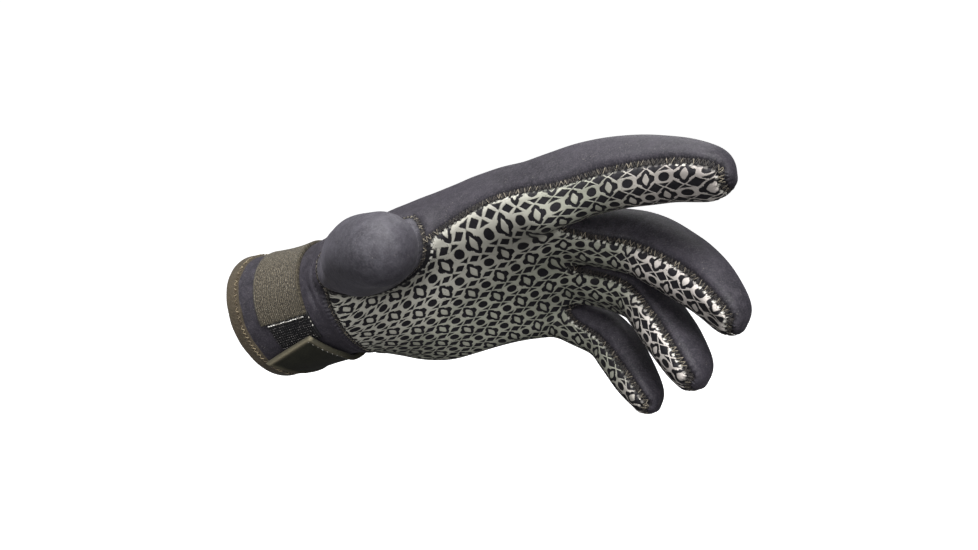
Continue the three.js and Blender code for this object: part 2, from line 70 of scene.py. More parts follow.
# From the index on. bend, width and depth: at the knuckle and further joints. pad: how much
# deeper the pad's side is. seam: angle of the near seam. web: length joined to the next finger.
FINGERS = (
    {"knuckle": (92, -32.2, 5.6), "spread": -5.9, "bend": (10.5, 14.7, 17.1),
     "bone": (45, 27, 26.5), "width": (26, 26, 23.5, 20), "depth": (33, 29, 25.3, 19.2),
     "pad": (7.5, 2.7, 2, -4.1), "seam": (218, 218, 207, 188), "web": 18},
    {"knuckle": (95, -8, 6.2), "spread": 5.9, "bend": (21.1, 31.2, 22.3),
     "bone": (49, 31, 28.4), "width": (23, 24, 22.5, 19), "depth": (29, 27.4, 23.9, 18.5),
     "pad": (-3, 2.4, 2.4, -6.2), "seam": (219, 219, 207, 188), "web": 15},
    {"knuckle": (90, 15.4, 3.8), "spread": 3.6, "bend": (31.8, 34.4, 8.1),
     "bone": (46, 29, 24.4), "width": (22, 23, 21.5, 18.5), "depth": (27, 26, 22.9, 17.9),
     "pad": (-6, -4.6, 0.3, -2.3), "seam": (188, 188, 190, 190), "web": 13},
    {"knuckle": (81, 36.1, -1.0), "spread": 6.8, "bend": (36.8, 32.0, 3.7),
     "bone": (36, 21, 22.6), "width": (21, 20.5, 19, 16.5), "depth": (25, 23.1, 20.8, 15.8),
     "pad": (-1.5, -0.2, 1.2, -2), "seam": (212, 212, 200, 190), "web": 11},
)
FAR_SEAM = 345.0  # angle of the seam on the side away from the thumb
THUMB = {"base": (26.3, -21.9, -9.0), "out": 73.1, "down": 32.0, "bend": (30.3, 22.8),
         "bone": (43, 33, 27), "width": (35.5, 30.5, 26.5, 23.5), "depth": (33, 30, 27, 24)}
THUMB_RINGS = (34, 48, 62, 76, 88)
TIP_ANGLES = (0, 32, 60)  # rings over a rounded end, as angles up it
# Soft mounds of the hand: middle (x, y), reach, and height along the direction to (y, z).
MOUNDS = (
    {"at": (28, -12), "reach": 24, "to": (0, -1), "height": 7.7},
    {"at": (24, 30), "reach": 26, "to": (0.4, -0.9), "height": 15.5},
    {"at": (66, 4), "reach": 20, "to": (0, -1), "height": -2},
    {"at": (62, -24), "reach": 42, "to": (0, 1), "height": 13.8},
    {"at": (95, -38), "reach": 20, "to": (-0.6, 0.8), "height": 3.1},
    {"at": (8, -2), "reach": 22, "to": (0.5, -0.87), "height": 1.4},
    {"at": (74, -30), "reach": 22, "to": (-0.5, 0.87), "height": -2.3},
    {"at": (78, 36), "reach": 18, "to": (0.5, -0.87), "height": 1.8},
)
HOLD = (-53.8, -20.2, -17.9)  # turns of the hand frame about X, Y and Z
COLUMNS = 36
COLUMN_ANGLES = 90 - (np.arange(COLUMNS) - 7) * STEP


def smooth(t):
    """An even step from 0 to 1: 3 t squared less 2 t cubed."""
    t = np.clip(t, 0.0, 1.0)
    return t * t * (3.0 - 2.0 * t)


def cosine(a):
    """Of an angle in degrees."""
    return np.cos(np.radians(a))


def sine(a):
    """Of an angle in degrees."""
    return np.sin(np.radians(a))


def unit(v):
    """Directions of length 1."""
    return v / np.linalg.norm(v, axis=-1, keepdims=True)


def bell(d, at, width):
    """1 where d is at, falling away each side as exp of minus the square of the widths off."""
    return np.exp(-((d - at) / width) ** 2)


def follow(at, stations, values):
    """Rows of values, read off between their stations."""
    return np.stack([np.interp(at, stations, column) for column in values.T], -1)


def summed(where, values, count):
    """Rows of values, added up at the numbers in where."""
    return np.stack([np.bincount(where, column, count) for column in values.T], -1)


def arc_lengths(p):
    """The length along a row of points, or along each column of a grid of them, from its first."""
    steps = np.linalg.norm(np.diff(p, axis=0), axis=-1)
    return np.concatenate([0 * steps[:1], np.cumsum(steps, 0)])


def middle_line(start, direction, first, last):
    """The middle line of a limb: its direction summed in steps of half a millimetre."""
    s = np.arange(first, last + HOP, HOP)
    hops = direction(s + HOP / 2) * HOP
    path = np.vstack([np.zeros(3), np.cumsum(hops, axis=0)[:-1]]) + start
    return lambda at: follow(at, s, path)


def joint_turns(s, joints, bend):
    """The turn at length s: each joint adds its bend, evenly over BEND mm each way."""
    s = np.asarray(s, float)[..., None]
    return (smooth((s - np.array(joints) + BEND) / (2 * BEND)) * np.array(bend, float)).sum(-1)


def limb_point(limb, s, angle, grow=1.0):
    """A point on a limb: the middle line at s plus an ellipse, width across and depth through.
    A finger's pad adds some depth on its own side."""
    s, angle = np.broadcast_arrays(np.asarray(s, float), np.asarray(angle, float))
    side, back = limb["axes"](s)
    w = np.interp(s, limb["stations"], limb["width"]) / 2 * FULLER * grow
    h = np.interp(s, limb["stations"], limb["depth"]) / 2 * FULLER * grow
    if "pad" in limb:
        pad = np.interp(s, (limb["web"], *limb["stations"][1:]), limb["pad"])
        h = h + pad * grow * smooth(s / limb["web"]) * np.clip(-sine(angle), 0, 1)
    return (limb["centre"](s) + side * (w * cosine(angle))[..., None]
            + back * (h * sine(angle))[..., None])


def make_finger(f):
    """A finger, with angle 0 on the little-finger side, 90 on the back and 270 on the pad. Its way
    is the cosine and sine of the spread, level, times the cosine of the bend, and less its sine
    down; both turns build up joint by joint."""
    joints = (0.0, f["bone"][0], f["bone"][0] + f["bone"][1])
    length = sum(f["bone"])

    def spread(s):
        return joint_turns(s, (0.0,), (f["spread"],))

    def direction(s):
        a, b = spread(s), joint_turns(s, joints, f["bend"])
        return np.stack([cosine(a) * cosine(b), sine(a) * cosine(b), -sine(b)], -1)

    def axes(s):
        a = spread(s)
        side = np.stack([-sine(a), cosine(a), 0 * a], -1)
        return side, np.cross(direction(s), side)

    start = np.array(f["knuckle"], float) - (LEAD, 0, 0)
    rings = (f["web"] + 12, joints[1] - 3, joints[1] + 7, joints[2] - 6, joints[2] + 5)
    return dict(f, axes=axes, centre=middle_line(start, direction, -LEAD, length + 4),
                stations=(*joints, length), length=length, rings=rings)


def make_thumb():
    """The thumb, with angle 0 towards the fingers and 90 towards the back. Its way is a finger's,
    down at one slope, and its joints bend it back towards the fingers."""
    bone = THUMB["bone"]
    joints = (bone[0], bone[0] + bone[1])
    length = sum(bone)
    down = THUMB["down"]

    def direction(s):
        a = THUMB["out"] - joint_turns(s, joints, THUMB["bend"])
        return np.stack([cosine(a) * cosine(down), -sine(a) * cosine(down),
                         -sine(down) + 0 * a], -1)

    def axes(s):
        d = direction(s)
        back = unit(np.array((0, 0, 1.0)) - d * d[..., 2:])
        return np.cross(back, d), back

    line = middle_line(np.array(THUMB["base"], float), direction, 0, length + 4)
    return dict(THUMB, axes=axes, centre=line, stations=(0, *joints, length), length=length,
                rings=THUMB_RINGS)


def cuff_axes():
    """The cuff's directions: along it to the wrist, towards the little finger, and to the back."""
    lean, sway = CUFF["lean"], CUFF["sway"]
    axis = unit(np.array((cosine(lean) * cosine(sway), sine(sway), -sine(lean))))
    side = unit(np.array((0.0, 1.0, 0.0)) - axis * axis[1])
    return axis, side, np.cross(axis, side)


CUFF_AXIS, CUFF_SIDE, CUFF_BACK = cuff_axes()


def cuff_point(h, angle, lift=0.0):
    """A point h mm from the hem, at an angle round the cuff's oval, lifted off it. The half sizes
    ease from the hem's to the wrist's, less the waist times 4 u (1 - u), plus a skew that grows
    with the sine of twice the angle, and the middle bows by 4 u (1 - u), u the share of h."""
    h, angle, lift = np.broadcast_arrays(*(np.asarray(q, float) for q in (h, angle, lift)))
    t = smooth(h / CUFF_LENGTH)
    u = np.clip(h / CUFF_LENGTH, 0, 1)
    belly = 4 * u * (1 - u)
    skew = (HEM["skew"] + (WRIST["skew"] - HEM["skew"]) * t) * sine(2 * angle)
    more = lift + skew - CUFF["waist"] * belly
    w = (HEM["width"] + (WRIST["width"] - HEM["width"]) * t) / 2 + more
    d = (HEM["depth"] + (WRIST["depth"] - HEM["depth"]) * t) / 2 + more
    bow = CUFF_SIDE * CUFF["bow"][0] + CUFF_BACK * CUFF["bow"][1]
    return (np.array(CUFF["hem"]) + CUFF_AXIS * h[..., None] + bow * belly[..., None]
            + CUFF_SIDE * (w * cosine(angle))[..., None]
            + CUFF_BACK * (d * sine(angle))[..., None])


FINGER_LIMBS = [make_finger(f) for f in FINGERS]
THUMB_LIMB = make_thumb()
FURROW_DIP = 35  # how far round a finger the furrow beside it lies, at the knuckles


def finger_row(share):
    """All 36 columns at a share of the webs: backs, furrows between them, pads and sides."""
    def at(i, angles):
        return limb_point(FINGER_LIMBS[i], share * FINGER_LIMBS[i]["web"], angles)

    dip = FURROW_DIP * (1 - float(smooth(share)))

    def between(i, a, b):
        return (at(i, [a]) + at(i + 1, [b])) / 2

    row = []
    for i in range(4):
        row.append(at(i, [120, 90, 60]))
        if i < 3:
            row.append(between(i, 30 + dip, 150 - dip))
    row.append(at(3, [30, 0, 330]))
    for i in (3, 2, 1, 0):
        row.append(at(i, [300, 270, 240]))
        if i > 0:
            row.append(between(i - 1, 330 - dip, 210 + dip))
    row.append(at(0, [210, 180, 150]))
    return np.vstack(row)


KNUCKLES = finger_row(0.0)


def palm_row(t):
    """Between the wrist's oval and the knuckles, pushed out by the soft mounds of the hand."""
    p = (1 - t) * cuff_point(CUFF_LENGTH, COLUMN_ANGLES) + t * KNUCKLES
    for m in MOUNDS:
        facing = m["to"][0] * cosine(COLUMN_ANGLES) + m["to"][1] * sine(COLUMN_ANGLES)
        away = np.hypot(p[:, 0] - m["at"][0], p[:, 1] - m["at"][1]) / m["reach"]
        push = m["height"] * np.exp(-away * away) * smooth(facing * 2)
        p = p + push[:, None] * np.array((0.0, *m["to"]))
    return p


class Cage:
    """The coarse net: points, and faces of four or three corners, each with its panel's tag."""

    def __init__(self):
        self.points, self.count = [], 0
        self.faces, self.tags = {4: [], 3: []}, {4: [], 3: []}

    def add(self, p):
        """New points, given back as their numbers."""
        p = np.atleast_2d(p)
        ids = np.arange(self.count, self.count + len(p))
        self.points.append(p)
        self.count += len(p)
        return ids

    def put(self, corners, tags):
        """New faces, all with the same count of corners."""
        size = corners.shape[1]
        self.faces[size].append(corners)
        self.tags[size].append(tags)

    def band(self, low, high, tags, kept=slice(None)):
        """The kept faces between two rings of points."""
        faces = np.stack([low, high, np.roll(high, -1), np.roll(low, -1)], -1)
        self.put(faces[kept], tags[kept])

    def cap(self, ring, pole, tags):
        """Triangles from a ring to one point."""
        self.put(np.stack([ring, np.full(len(ring), pole), np.roll(ring, -1)], -1), tags)


CUFF_ROW, PALM, BACK, THUMB_TAG = 100, 1, 2, 3
SEAM_ROW = len(CUFF_RINGS) - 1
FRONT = (5, 9)  # the printed columns of a finger
HAND_FRONT = (17, 33)  # and of the palm
THUMB_GAP = (32, 35)  # columns and rows of the palm that the thumb takes
GAP_ROWS = 3


def finger_angles(limb, s):
    """The 12 columns round a finger at s: three on the back, then even steps to the far seam,
    to the near seam, and back to the start."""
    near = float(np.interp(s, limb["stations"], limb["seam"]))
    return np.concatenate([(120, 90), np.linspace(60, FAR_SEAM - 360, 4),
                           np.linspace(FAR_SEAM, near, 5)[1:], np.linspace(near, 120, 4)[1:3]])


def spaced_fuller(angles):
    """How much wider a ring of uneven steps is made, so that it smooths to the same size as one
    of 30 degree steps: the ratio of 2/3 + (cos of the steps either side) / 6."""
    after = np.roll(angles, -1) - angles
    after = (after + 180) % 360 - 180
    before = np.roll(after, 1)
    return (2 / 3 + cosine(30) / 3) / (2 / 3 + (cosine(after) + cosine(before)) / 6)


def ring_stations(limb):
    """Where a limb's rings lie and how wide each is: those of its length, then over its end."""
    radius = limb["width"][3] / 2
    rim = limb["length"] - radius
    return ([(s, 1.0) for s in limb["rings"]]
            + [(rim + radius * float(sine(up)), cosine(up)) for up in TIP_ANGLES])


def limb_tube(cage, limb, base, angles_at, tags, tip_tag):
    """A tube from a base ring through further rings and a rounded end to a closed tip."""
    rings = [base]
    for s, share in ring_stations(limb):
        angles = angles_at(s)
        rings.append(cage.add(limb_point(limb, s, angles, share * spaced_fuller(angles))))
        cage.band(rings[-2], rings[-1], tags)
    pole = cage.add(limb["centre"](np.array([limb["length"] + 0.6])))[0]
    cage.cap(rings[-1], pole, np.full(len(tags), tip_tag))
    return rings


def fair(points, faces, movable, times, share):
    """Points move part of the way to the middle of their neighbours, several times."""
    a = np.concatenate([f.ravel() for f in faces])
    b = np.concatenate([np.roll(f, -1, axis=1).ravel() for f in faces])
    pairs = np.unique(np.concatenate([np.stack([a, b], -1), np.stack([b, a], -1)]), axis=0)
    pairs = pairs[np.isin(pairs[:, 0], movable)]
    movable = np.unique(pairs[:, 0])
    n = np.bincount(pairs[:, 0], minlength=len(points))[movable]
    for _ in range(times):
        total = summed(pairs[:, 0], points[pairs[:, 1]], len(points))[movable]
        points[movable] += (total / n[:, None] - points[movable]) * share


# Where the print's rows lie. Over the palm its place is a polynomial in u, the distance along the
# hand, and v, the distance round it: terms 1, u, v, uu, uv, vv, uuu, uuv, uvv, vvv. On a finger
# it is one in the length along it: first the place along, then the shift across. In each, a
# distance is taken from the first of two numbers and divided by the second.
PRINT_SCALE = {"along": (70, 40), "across": (5, 30), "finger": (140, 40)}
PRINT_CELL = 8.0
PRINT_ALONG = (26.33, 42.28, -2.69, -4.58, 5.21, -0.34, -3.41, -3.44, 0.94, 0.05)
PRINT_ACROSS = (24.3, 1.88, 24.31, -0.84, -3.73, 0.68, 0.65, 6.05, -0.15, -1.52)
PRINT_FINGERS = (((90.6, 37.4, 1.7), (52.2, -0.4, -0.4)), ((90.3, 36.2, 1.2), (36.3, 1.8, -3.1)),
                 ((89.7, 38.1, 2.1), (26.4, 3.6, -2.5)), ((88.3, 42.5, 4.1), (15.1, -0.9, -2.0)))
# Rows before the fingers, each with its share of the web's length and of the finger's print.
PRINT_ROWS = ((-3, 0.0, 0.12), (-2, 0.5, 0.4), (-1, 1.0, 0.75))
MIDDLE_COLUMN = 25  # of the palm, where the length round it starts
PAD_COLUMN = 31  # of the index, in the rows of the palm; each further finger's is 4 less


def scaled(distance, which):
    """A distance as the print's polynomials take it."""
    start, size = PRINT_SCALE[which]
    return (distance - start) / size


def print_places(points, ids, finger_rings):
    """The print's two coordinates at the cage's points, in cells of 8 mm. On the palm both come
    from a polynomial in x and in the length round the ring from its middle column. On a finger
    both are square polynomials in the length along it, with the length round its pad added to
    the second."""
    run, around = points[:, 0], np.zeros(len(points))
    columns = np.arange(12, 37) % COLUMNS
    for row in ids[SEAM_ROW:]:
        arc = arc_lengths(points[row[columns]])
        around[row[columns]] = points[row[MIDDLE_COLUMN], 1] - (arc - arc[MIDDLE_COLUMN - 12])
    u, v = scaled(run, "along"), scaled(around, "across")
    terms = np.stack([np.ones_like(u), u, v, u * u, u * v, v * v,
                      u ** 3, u * u * v, u * v * v, v ** 3], -1)
    palm = terms @ np.array((PRINT_ALONG, PRINT_ACROSS)).T
    place = palm.copy()

    def on_finger(i, length, across):
        """A square polynomial in the length along the finger, added to the length across."""
        u = scaled(length, "finger")
        along, shift = (a + b * u + c * u * u for a, b, c in PRINT_FINGERS[i])
        return np.stack([along + 0 * across, across + shift], -1)

    for i, (limb, rings) in enumerate(zip(FINGER_LIMBS, finger_rings)):
        middle = around[rings[0][7]]
        knuckle = limb["knuckle"][0]
        for ring, (s, _) in zip(rings[1:], ring_stations(limb)):
            arc = arc_lengths(points[ring[3:12]])
            place[ring[3:12]] = on_finger(i, knuckle + s, middle - (arc - arc[4]))
        centre = PAD_COLUMN - 4 * i
        first, last = centre - 1 - 2 * (i == 3), centre + 2 + 2 * (i == 0)
        for row, share, weight in PRINT_ROWS:
            pad = ids[row][first:last]
            shift = middle + around[pad] - around[ids[row][centre]]
            wanted = on_finger(i, knuckle + share * limb["web"], shift)
            place[pad] += weight * (wanted - palm[pad])
    return place / PRINT_CELL


class Net:
    """One level of the smoothed net, with what is needed to find it from the coarser one."""

    def __init__(self, points, faces, tags, lines, keys=None, count=0, first_edge=0):
        self.points, self.faces, self.tags, self.lines = points, faces, tags, lines
        self.keys, self.coarse_count, self.first_edge = keys, count, first_edge

    def middle(self, a, b):
        """Points that stand halfway along edges a-b of the coarser net."""
        found = np.searchsorted(self.keys, np.minimum(a, b) * self.coarse_count + np.maximum(a, b))
        return self.first_edge + found


# Where columns move round to make room for the thumb: for each palm ring from the wrist seam on,
# places between the columns. The last line draws the hole's far corner in towards the wrist.
THUMB_HOLE = (
    {28: 27.7, 29: 28.3, 30: 28.9, 31: 29.5, 32: 30.2, 33: 31.5, 34: 32.9, 35: 34.3, 0: 35.8},
    {26: 25.7, 27: 26.3, 28: 26.9, 29: 27.4, 30: 27.9, 31: 28.3, 32: 28.8, 33: 31.0, 34: 32.5,
     35: 33.6, 0: 35.2, 1: 36.7},
    {26: 25.7, 27: 26.3, 28: 26.8, 29: 27.3, 30: 27.8, 31: 28.2, 32: 28.6, 33: 31.0, 34: 32.5,
     35: 33.6, 0: 35.2, 1: 36.7},
    {26: 25.8, 27: 26.5, 28: 27.2, 29: 27.9, 30: 28.6, 31: 29.3, 32: 30.0, 33: 33.0, 34: 33.4,
     35: 34.0, 0: 35.4, 1: 36.8},
    {27: 26.8, 28: 27.6, 29: 28.4, 30: 29.2, 31: 30.1, 32: 31.1},
)
THUMB_CORNER = {34: 0.45, 35: 0.75, 0: 0.3}


def moved_round(row, places):
    """A ring of points with some columns taken from places between its columns, in a line."""
    at = np.arange(len(row), dtype=float)
    at[list(places)] = list(places.values())
    low = np.floor(at).astype(int)
    share = (at - low)[:, None]
    return (1 - share) * row[low % len(row)] + share * row[(low + 1) % len(row)]


def make_cage():
    """The whole coarse net: rings of the cuff and palm with a gap for the thumb, then a tube from
    the last ring for each finger, and one from the gap for the thumb."""
    cage = Cage()
    rows = [cuff_point(h, COLUMN_ANGLES) for h in CUFF_RINGS]
    rows += [palm_row(t) for t in PALM_RINGS]
    rows += [finger_row(share) for share in WEB_RINGS]
    for r, places in enumerate(THUMB_HOLE):
        rows[SEAM_ROW + r] = moved_round(rows[SEAM_ROW + r], places)
    near, far = rows[SEAM_ROW + 2], rows[SEAM_ROW + 3]
    corner, share = list(THUMB_CORNER), np.array(list(THUMB_CORNER.values()))[:, None]
    far[corner] += share * (near[corner] - far[corner])
    ids = [cage.add(row) for row in rows]
    c = np.arange(COLUMNS)
    for r in range(len(ids) - 1):
        tags = np.where((c >= HAND_FRONT[0]) & (c < HAND_FRONT[1]), PALM, BACK)
        if r < SEAM_ROW:
            tags = np.full(COLUMNS, CUFF_ROW + r)
        gap = (c >= THUMB_GAP[0]) & (c < THUMB_GAP[1]) & (SEAM_ROW <= r < SEAM_ROW + GAP_ROWS)
        cage.band(ids[r], ids[r + 1], tags, ~gap)
    last = ids[-1]
    webs = []
    for i in range(3):
        a, b = FINGER_LIMBS[i], FINGER_LIMBS[i + 1]
        mid = (limb_point(a, a["web"] - 1.5, [0]) + limb_point(b, b["web"] - 1.5, [180])) / 2
        webs.append(cage.add(mid)[0])
    finger_rings = []
    c = np.arange(12)
    tags = np.where((c >= FRONT[0]) & (c < FRONT[1]), PALM, BACK)
    for i, limb in enumerate(FINGER_LIMBS):
        first = 4 * i
        far = (webs[i], last[29 - first]) if i < 3 else (last[16], last[17])
        near = (last[33 - first], webs[i - 1], last[first - 1]) if i > 0 else tuple(last[33:36])
        base = np.array([*last[first:first + 4], *far, *last[30 - first:33 - first], *near])
        finger_rings.append(limb_tube(cage, limb, base, lambda s: finger_angles(limb, s), tags,
                                      BACK))
    hole = [ids[SEAM_ROW + k] for k in range(GAP_ROWS + 1)]
    thumb_base = np.array([*(row[35] for row in hole), hole[3][34], hole[3][33],
                           *(row[32] for row in hole[::-1]), hole[0][33], hole[0][34]])
    thumb_rings = limb_tube(cage, THUMB_LIMB, thumb_base, lambda s: 135 - 30 * c,
                            np.full(12, THUMB_TAG), THUMB_TAG)
    points = np.vstack(cage.points)
    faces = [np.vstack(cage.faces[4]), np.vstack(cage.faces[3])]
    tags = np.concatenate(cage.tags[4] + cage.tags[3])
    palm_ids = np.concatenate(ids[SEAM_ROW + 1:-1])
    fair(points, faces, np.concatenate([palm_ids, thumb_rings[1]]), times=3, share=0.5)
    fair(points, faces, ids[SEAM_ROW][31:36], times=1, share=0.35)
    places = print_places(points, ids, finger_rings)
    return Net(np.hstack([points, places]), faces, tags, seam_lines(ids, finger_rings, hole))


def seam_lines(ids, finger_rings, hole):
    """The seams as rows of the cage's points, in order along each seam."""
    way = [row[17] for row in ids[SEAM_ROW:]]
    for rings in finger_rings[::-1]:
        way += [ring[5] for ring in rings[1:]]
        way += list(rings[-1][6:9])
        way += [ring[9] for ring in rings[::-1]]
    way += [row[33] for row in ids[-2:SEAM_ROW + 2:-1]]
    corner = hole[3][33]
    thumb_palm = [corner, *(row[32] for row in hole[::-1])]
    thumb_back = [corner, hole[3][34], *(row[35] for row in hole[::-1])]
    wrist = np.append(ids[SEAM_ROW], ids[SEAM_ROW][0])
    return {"print": np.array(way), "thumb_palm": np.array(thumb_palm),
            "thumb_back": np.array(thumb_back), "wrist": wrist}


def refine(net):
    """One Catmull-Clark step, on whole arrays. A face point is the middle of its corners; an edge
    point the mean of its ends and both face points; an old point is (mean of face points + twice
    the mean of edge middles + (n - 3) times itself) / n, and on a rim a quarter, half, quarter."""
    points, faces, tags, lines = net.points, net.faces, net.tags, net.lines
    count = len(points)
    corner = np.concatenate([f.ravel() for f in faces])
    after = np.concatenate([np.roll(f, -1, axis=1).ravel() for f in faces])
    sizes = np.concatenate([np.full(len(f), f.shape[1]) for f in faces])
    face = np.repeat(np.arange(len(sizes)), sizes)
    starts = np.concatenate([[0], np.cumsum(sizes)[:-1]])
    back = np.arange(len(corner)) - 1
    back[starts] = starts + sizes - 1
    middle = np.vstack([points[f].mean(1) for f in faces])

    low, high = np.minimum(corner, after), np.maximum(corner, after)
    keys, at, times = np.unique(low * count + high, return_inverse=True, return_counts=True)
    a, b = keys // count, keys % count
    mid = (points[a] + points[b]) / 2
    inner = (times == 2)[:, None]
    edge = np.where(inner, (2 * mid + summed(at, middle[face], len(keys))) / 4, mid)
    n = np.maximum(1.0, np.bincount(corner, minlength=count)[:, None])
    ends = np.concatenate([a, b])
    m = np.maximum(1.0, np.bincount(ends, minlength=count)[:, None])
    mids = summed(ends, np.vstack([mid, mid]), count) / m
    smooth_point = (summed(corner, middle[face], count) / n + 2 * mids + (n - 3) * points) / n
    rim = np.where(times == 1)[0]
    rim_ends = np.concatenate([a[rim], b[rim]])
    rim_count = np.bincount(rim_ends, minlength=count)[:, None]
    rim_sum = summed(rim_ends, np.vstack([mid[rim], mid[rim]]), count)
    old = np.where(rim_count == 2, (2 * points + rim_sum) / 4, smooth_point)
    face_id = count + np.arange(len(sizes))
    edge_id = count + len(sizes) + at
    new_faces = np.stack([corner, edge_id, face_id[face], edge_id[back]], -1)
    new_points = np.vstack([old, middle, edge])

    finer = Net(new_points, [new_faces], tags[face], {}, keys, count, count + len(sizes))
    for name, line in lines.items():
        row = np.empty(2 * len(line) - 1, int)
        row[0::2] = line
        row[1::2] = finer.middle(line[:-1], line[1:])
        finer.lines[name] = row
    return finer


def turned(degrees, axis):
    """The matrix of a turn about one axis."""
    matrix = np.eye(3)
    i, j = (axis + 1) % 3, (axis + 2) % 3
    matrix[[i, j], [i, j]] = cosine(degrees)
    matrix[i, j], matrix[j, i] = -sine(degrees), sine(degrees)
    return matrix


HELD = turned(HOLD[2], 2) @ turned(HOLD[1], 1) @ turned(HOLD[0], 0)


def to_row(p):
    """From the hand frame to the part's own frame."""
    return (p - np.array(CUFF["hem"])) @ HELD.T


LEVELS = 4
MM = 0.001
GROOVE = {"depth": 1.0, "width": 1.2}
ROLL = {"height": 0.5, "at": 3.4, "width": 1.9}
THUMB_FURROW_SHADE = 1.9  # how much wider the furrow's painted shade is drawn at the thumb's seam on the palm
PUCKER = {"height": 0.24, "length": 2.1, "at": 1.7, "width": 0.9}
# Soft unevenness: height, length and seed.
RIPPLES = ((0.35, 42, 5), (0.13, 15, 6))
WAVES = 7  # sine waves that each of them is made of
CALM = 4.0  # they fade out this close to a seam
SEAM_START = 37.0  # each seam's lengths start this much further on than the one before
BLOCK = 16384  # points that are measured to a seam at once
# Creases of the cuff: distance from the hem, angle, reach round the cuff and slant.
FOLDS = (
    {"h": 54.0, "angle": -156.0, "reach": 17.0, "slant": 0.03, "depth": 1.1, "width": 0.9},
    {"h": 50.5, "angle": -140.0, "reach": 15.0, "slant": 0.05, "depth": 0.6, "width": 1.1},
    {"h": 14.6, "angle": -42.0, "reach": 14.0, "slant": 0.0, "depth": 1.3, "width": 1.0},
    {"h": 53.0, "angle": -60.0, "reach": 26.0, "slant": -0.04, "depth": 0.5, "width": 1.3},
    {"h": 51.0, "angle": 60.0, "reach": 30.0, "slant": 0.05, "depth": 0.5, "width": 1.2},
    {"h": 54.5, "angle": 115.0, "reach": 24.0, "slant": -0.03, "depth": 0.6, "width": 1.0},
)


# The roll on both sides of a crease: its share of the depth, how far off, and width. A crease
# reaches no further than its end.
FOLD_ROLL = {"share": 0.6, "at": 2.4, "width": 1.5, "end": 12}


def point_normals(points, quads):
    """The way out of the cloth at each point: its faces' crossed diagonals, added up."""
    n = np.cross(points[quads[:, 2]] - points[quads[:, 0]],
                 points[quads[:, 3]] - points[quads[:, 1]])
    total = summed(quads.ravel(), np.repeat(n, 4, axis=0), len(points))
    return total / np.maximum(np.linalg.norm(total, axis=1, keepdims=True), 1e-9)


def to_seam(points, line):
    """How far each point lies from a seam, and how far along the seam its nearest place is. The
    nearest seam point is found in blocks, then the two stretches beside it are measured."""
    arc = arc_lengths(line)
    near = np.empty(len(points), int)
    small = line.astype(np.float32)
    squares = (small ** 2).sum(1)
    for first in range(0, len(points), BLOCK):
        block = points[first:first + BLOCK].astype(np.float32)
        near[first:first + BLOCK] = np.argmin(squares - 2 * block @ small.T, axis=1)
    best = np.full(len(points), np.inf)
    place = np.zeros(len(points))
    for i in (np.maximum(near - 1, 0), np.minimum(near, len(line) - 2)):
        run = line[i + 1] - line[i]
        length = np.maximum((run ** 2).sum(1), 1e-12)
        t = np.clip(((points - line[i]) * run).sum(1) / length, 0, 1)
        d = np.linalg.norm(points - line[i] - run * t[:, None], axis=1)
        closer = d < best
        best = np.where(closer, d, best)
        place = np.where(closer, arc[i] + t * (arc[i + 1] - arc[i]), place)
    return best, place


def ripple(p, length, seed):
    """Smooth unevenness about from -1 to 1: seven sine waves of about one length, each with its
    own direction and start, added up."""
    draw = np.random.default_rng(seed)
    ways = unit(draw.normal(size=(WAVES, 3))) * (2 * math.pi / length)
    ways = ways * draw.uniform(0.7, 1.4, (WAVES, 1))
    starts = draw.uniform(0, 2 * math.pi, WAVES)
    return np.sin(p @ ways.T + starts).sum(1) / (WAVES / 2)


def cuff_folds(points):
    """Creases of the cuff: each a bell across a slanted line round the cuff, with a low roll on
    both sides, fading out along it."""
    out = points - np.array(CUFF["hem"])
    h = out @ CUFF_AXIS
    angle = np.degrees(np.arctan2(out @ CUFF_BACK, out @ CUFF_SIDE))
    relief = np.zeros(len(points))
    for f in FOLDS:
        turn = (angle - f["angle"] + 180) % 360 - 180
        d = h - f["h"] - f["slant"] * turn
        fade = bell(turn, 0, f["reach"]) * (np.abs(d) < FOLD_ROLL["end"])
        roll = FOLD_ROLL["share"] * bell(np.abs(d), FOLD_ROLL["at"], FOLD_ROLL["width"])
        relief += f["depth"] * fade * (roll - bell(d, 0, f["width"]))
    return relief


class Skin:
    """The glove's surface on the finest net: bare points, normals, and the sewn outer face with
    its seam grooves, rolls beside them, puckers and soft unevenness."""

    def __init__(self, nets):
        finest = nets[-1]
        self.bare = finest.points[:, :3]
        self.places = finest.points[:, 3:]
        self.normals = point_normals(self.bare, finest.faces[0])
        nearest = np.full(len(self.bare), np.inf)
        shown = nearest.copy()
        along = np.zeros(len(self.bare))
        for number, (name, row) in enumerate(finest.lines.items()):
            d, s = to_seam(self.bare, self.bare[row])
            nearest = np.minimum(nearest, d)
            d = d - THUMB_FURROW_SHADE * (name == "thumb_palm")
            along = np.where(d < shown, s + SEAM_START * number, along)
            shown = np.minimum(shown, d)
        relief = -GROOVE["depth"] * bell(nearest, 0, GROOVE["width"])
        relief += ROLL["height"] * bell(nearest, ROLL["at"], ROLL["width"])
        wave = np.sin(2 * math.pi * along / PUCKER["length"])
        relief += PUCKER["height"] * wave * bell(nearest, PUCKER["at"], PUCKER["width"])
        relief += cuff_folds(self.bare)
        for height, length, seed in RIPPLES:
            relief += (1 - bell(nearest, 0, CALM)) * height * ripple(self.bare, length, seed)
        self.outer = self.bare + self.normals * relief[:, None]
        self.inner = self.bare - self.normals * WALL
        self.stitch = np.stack([shown, along], -1)


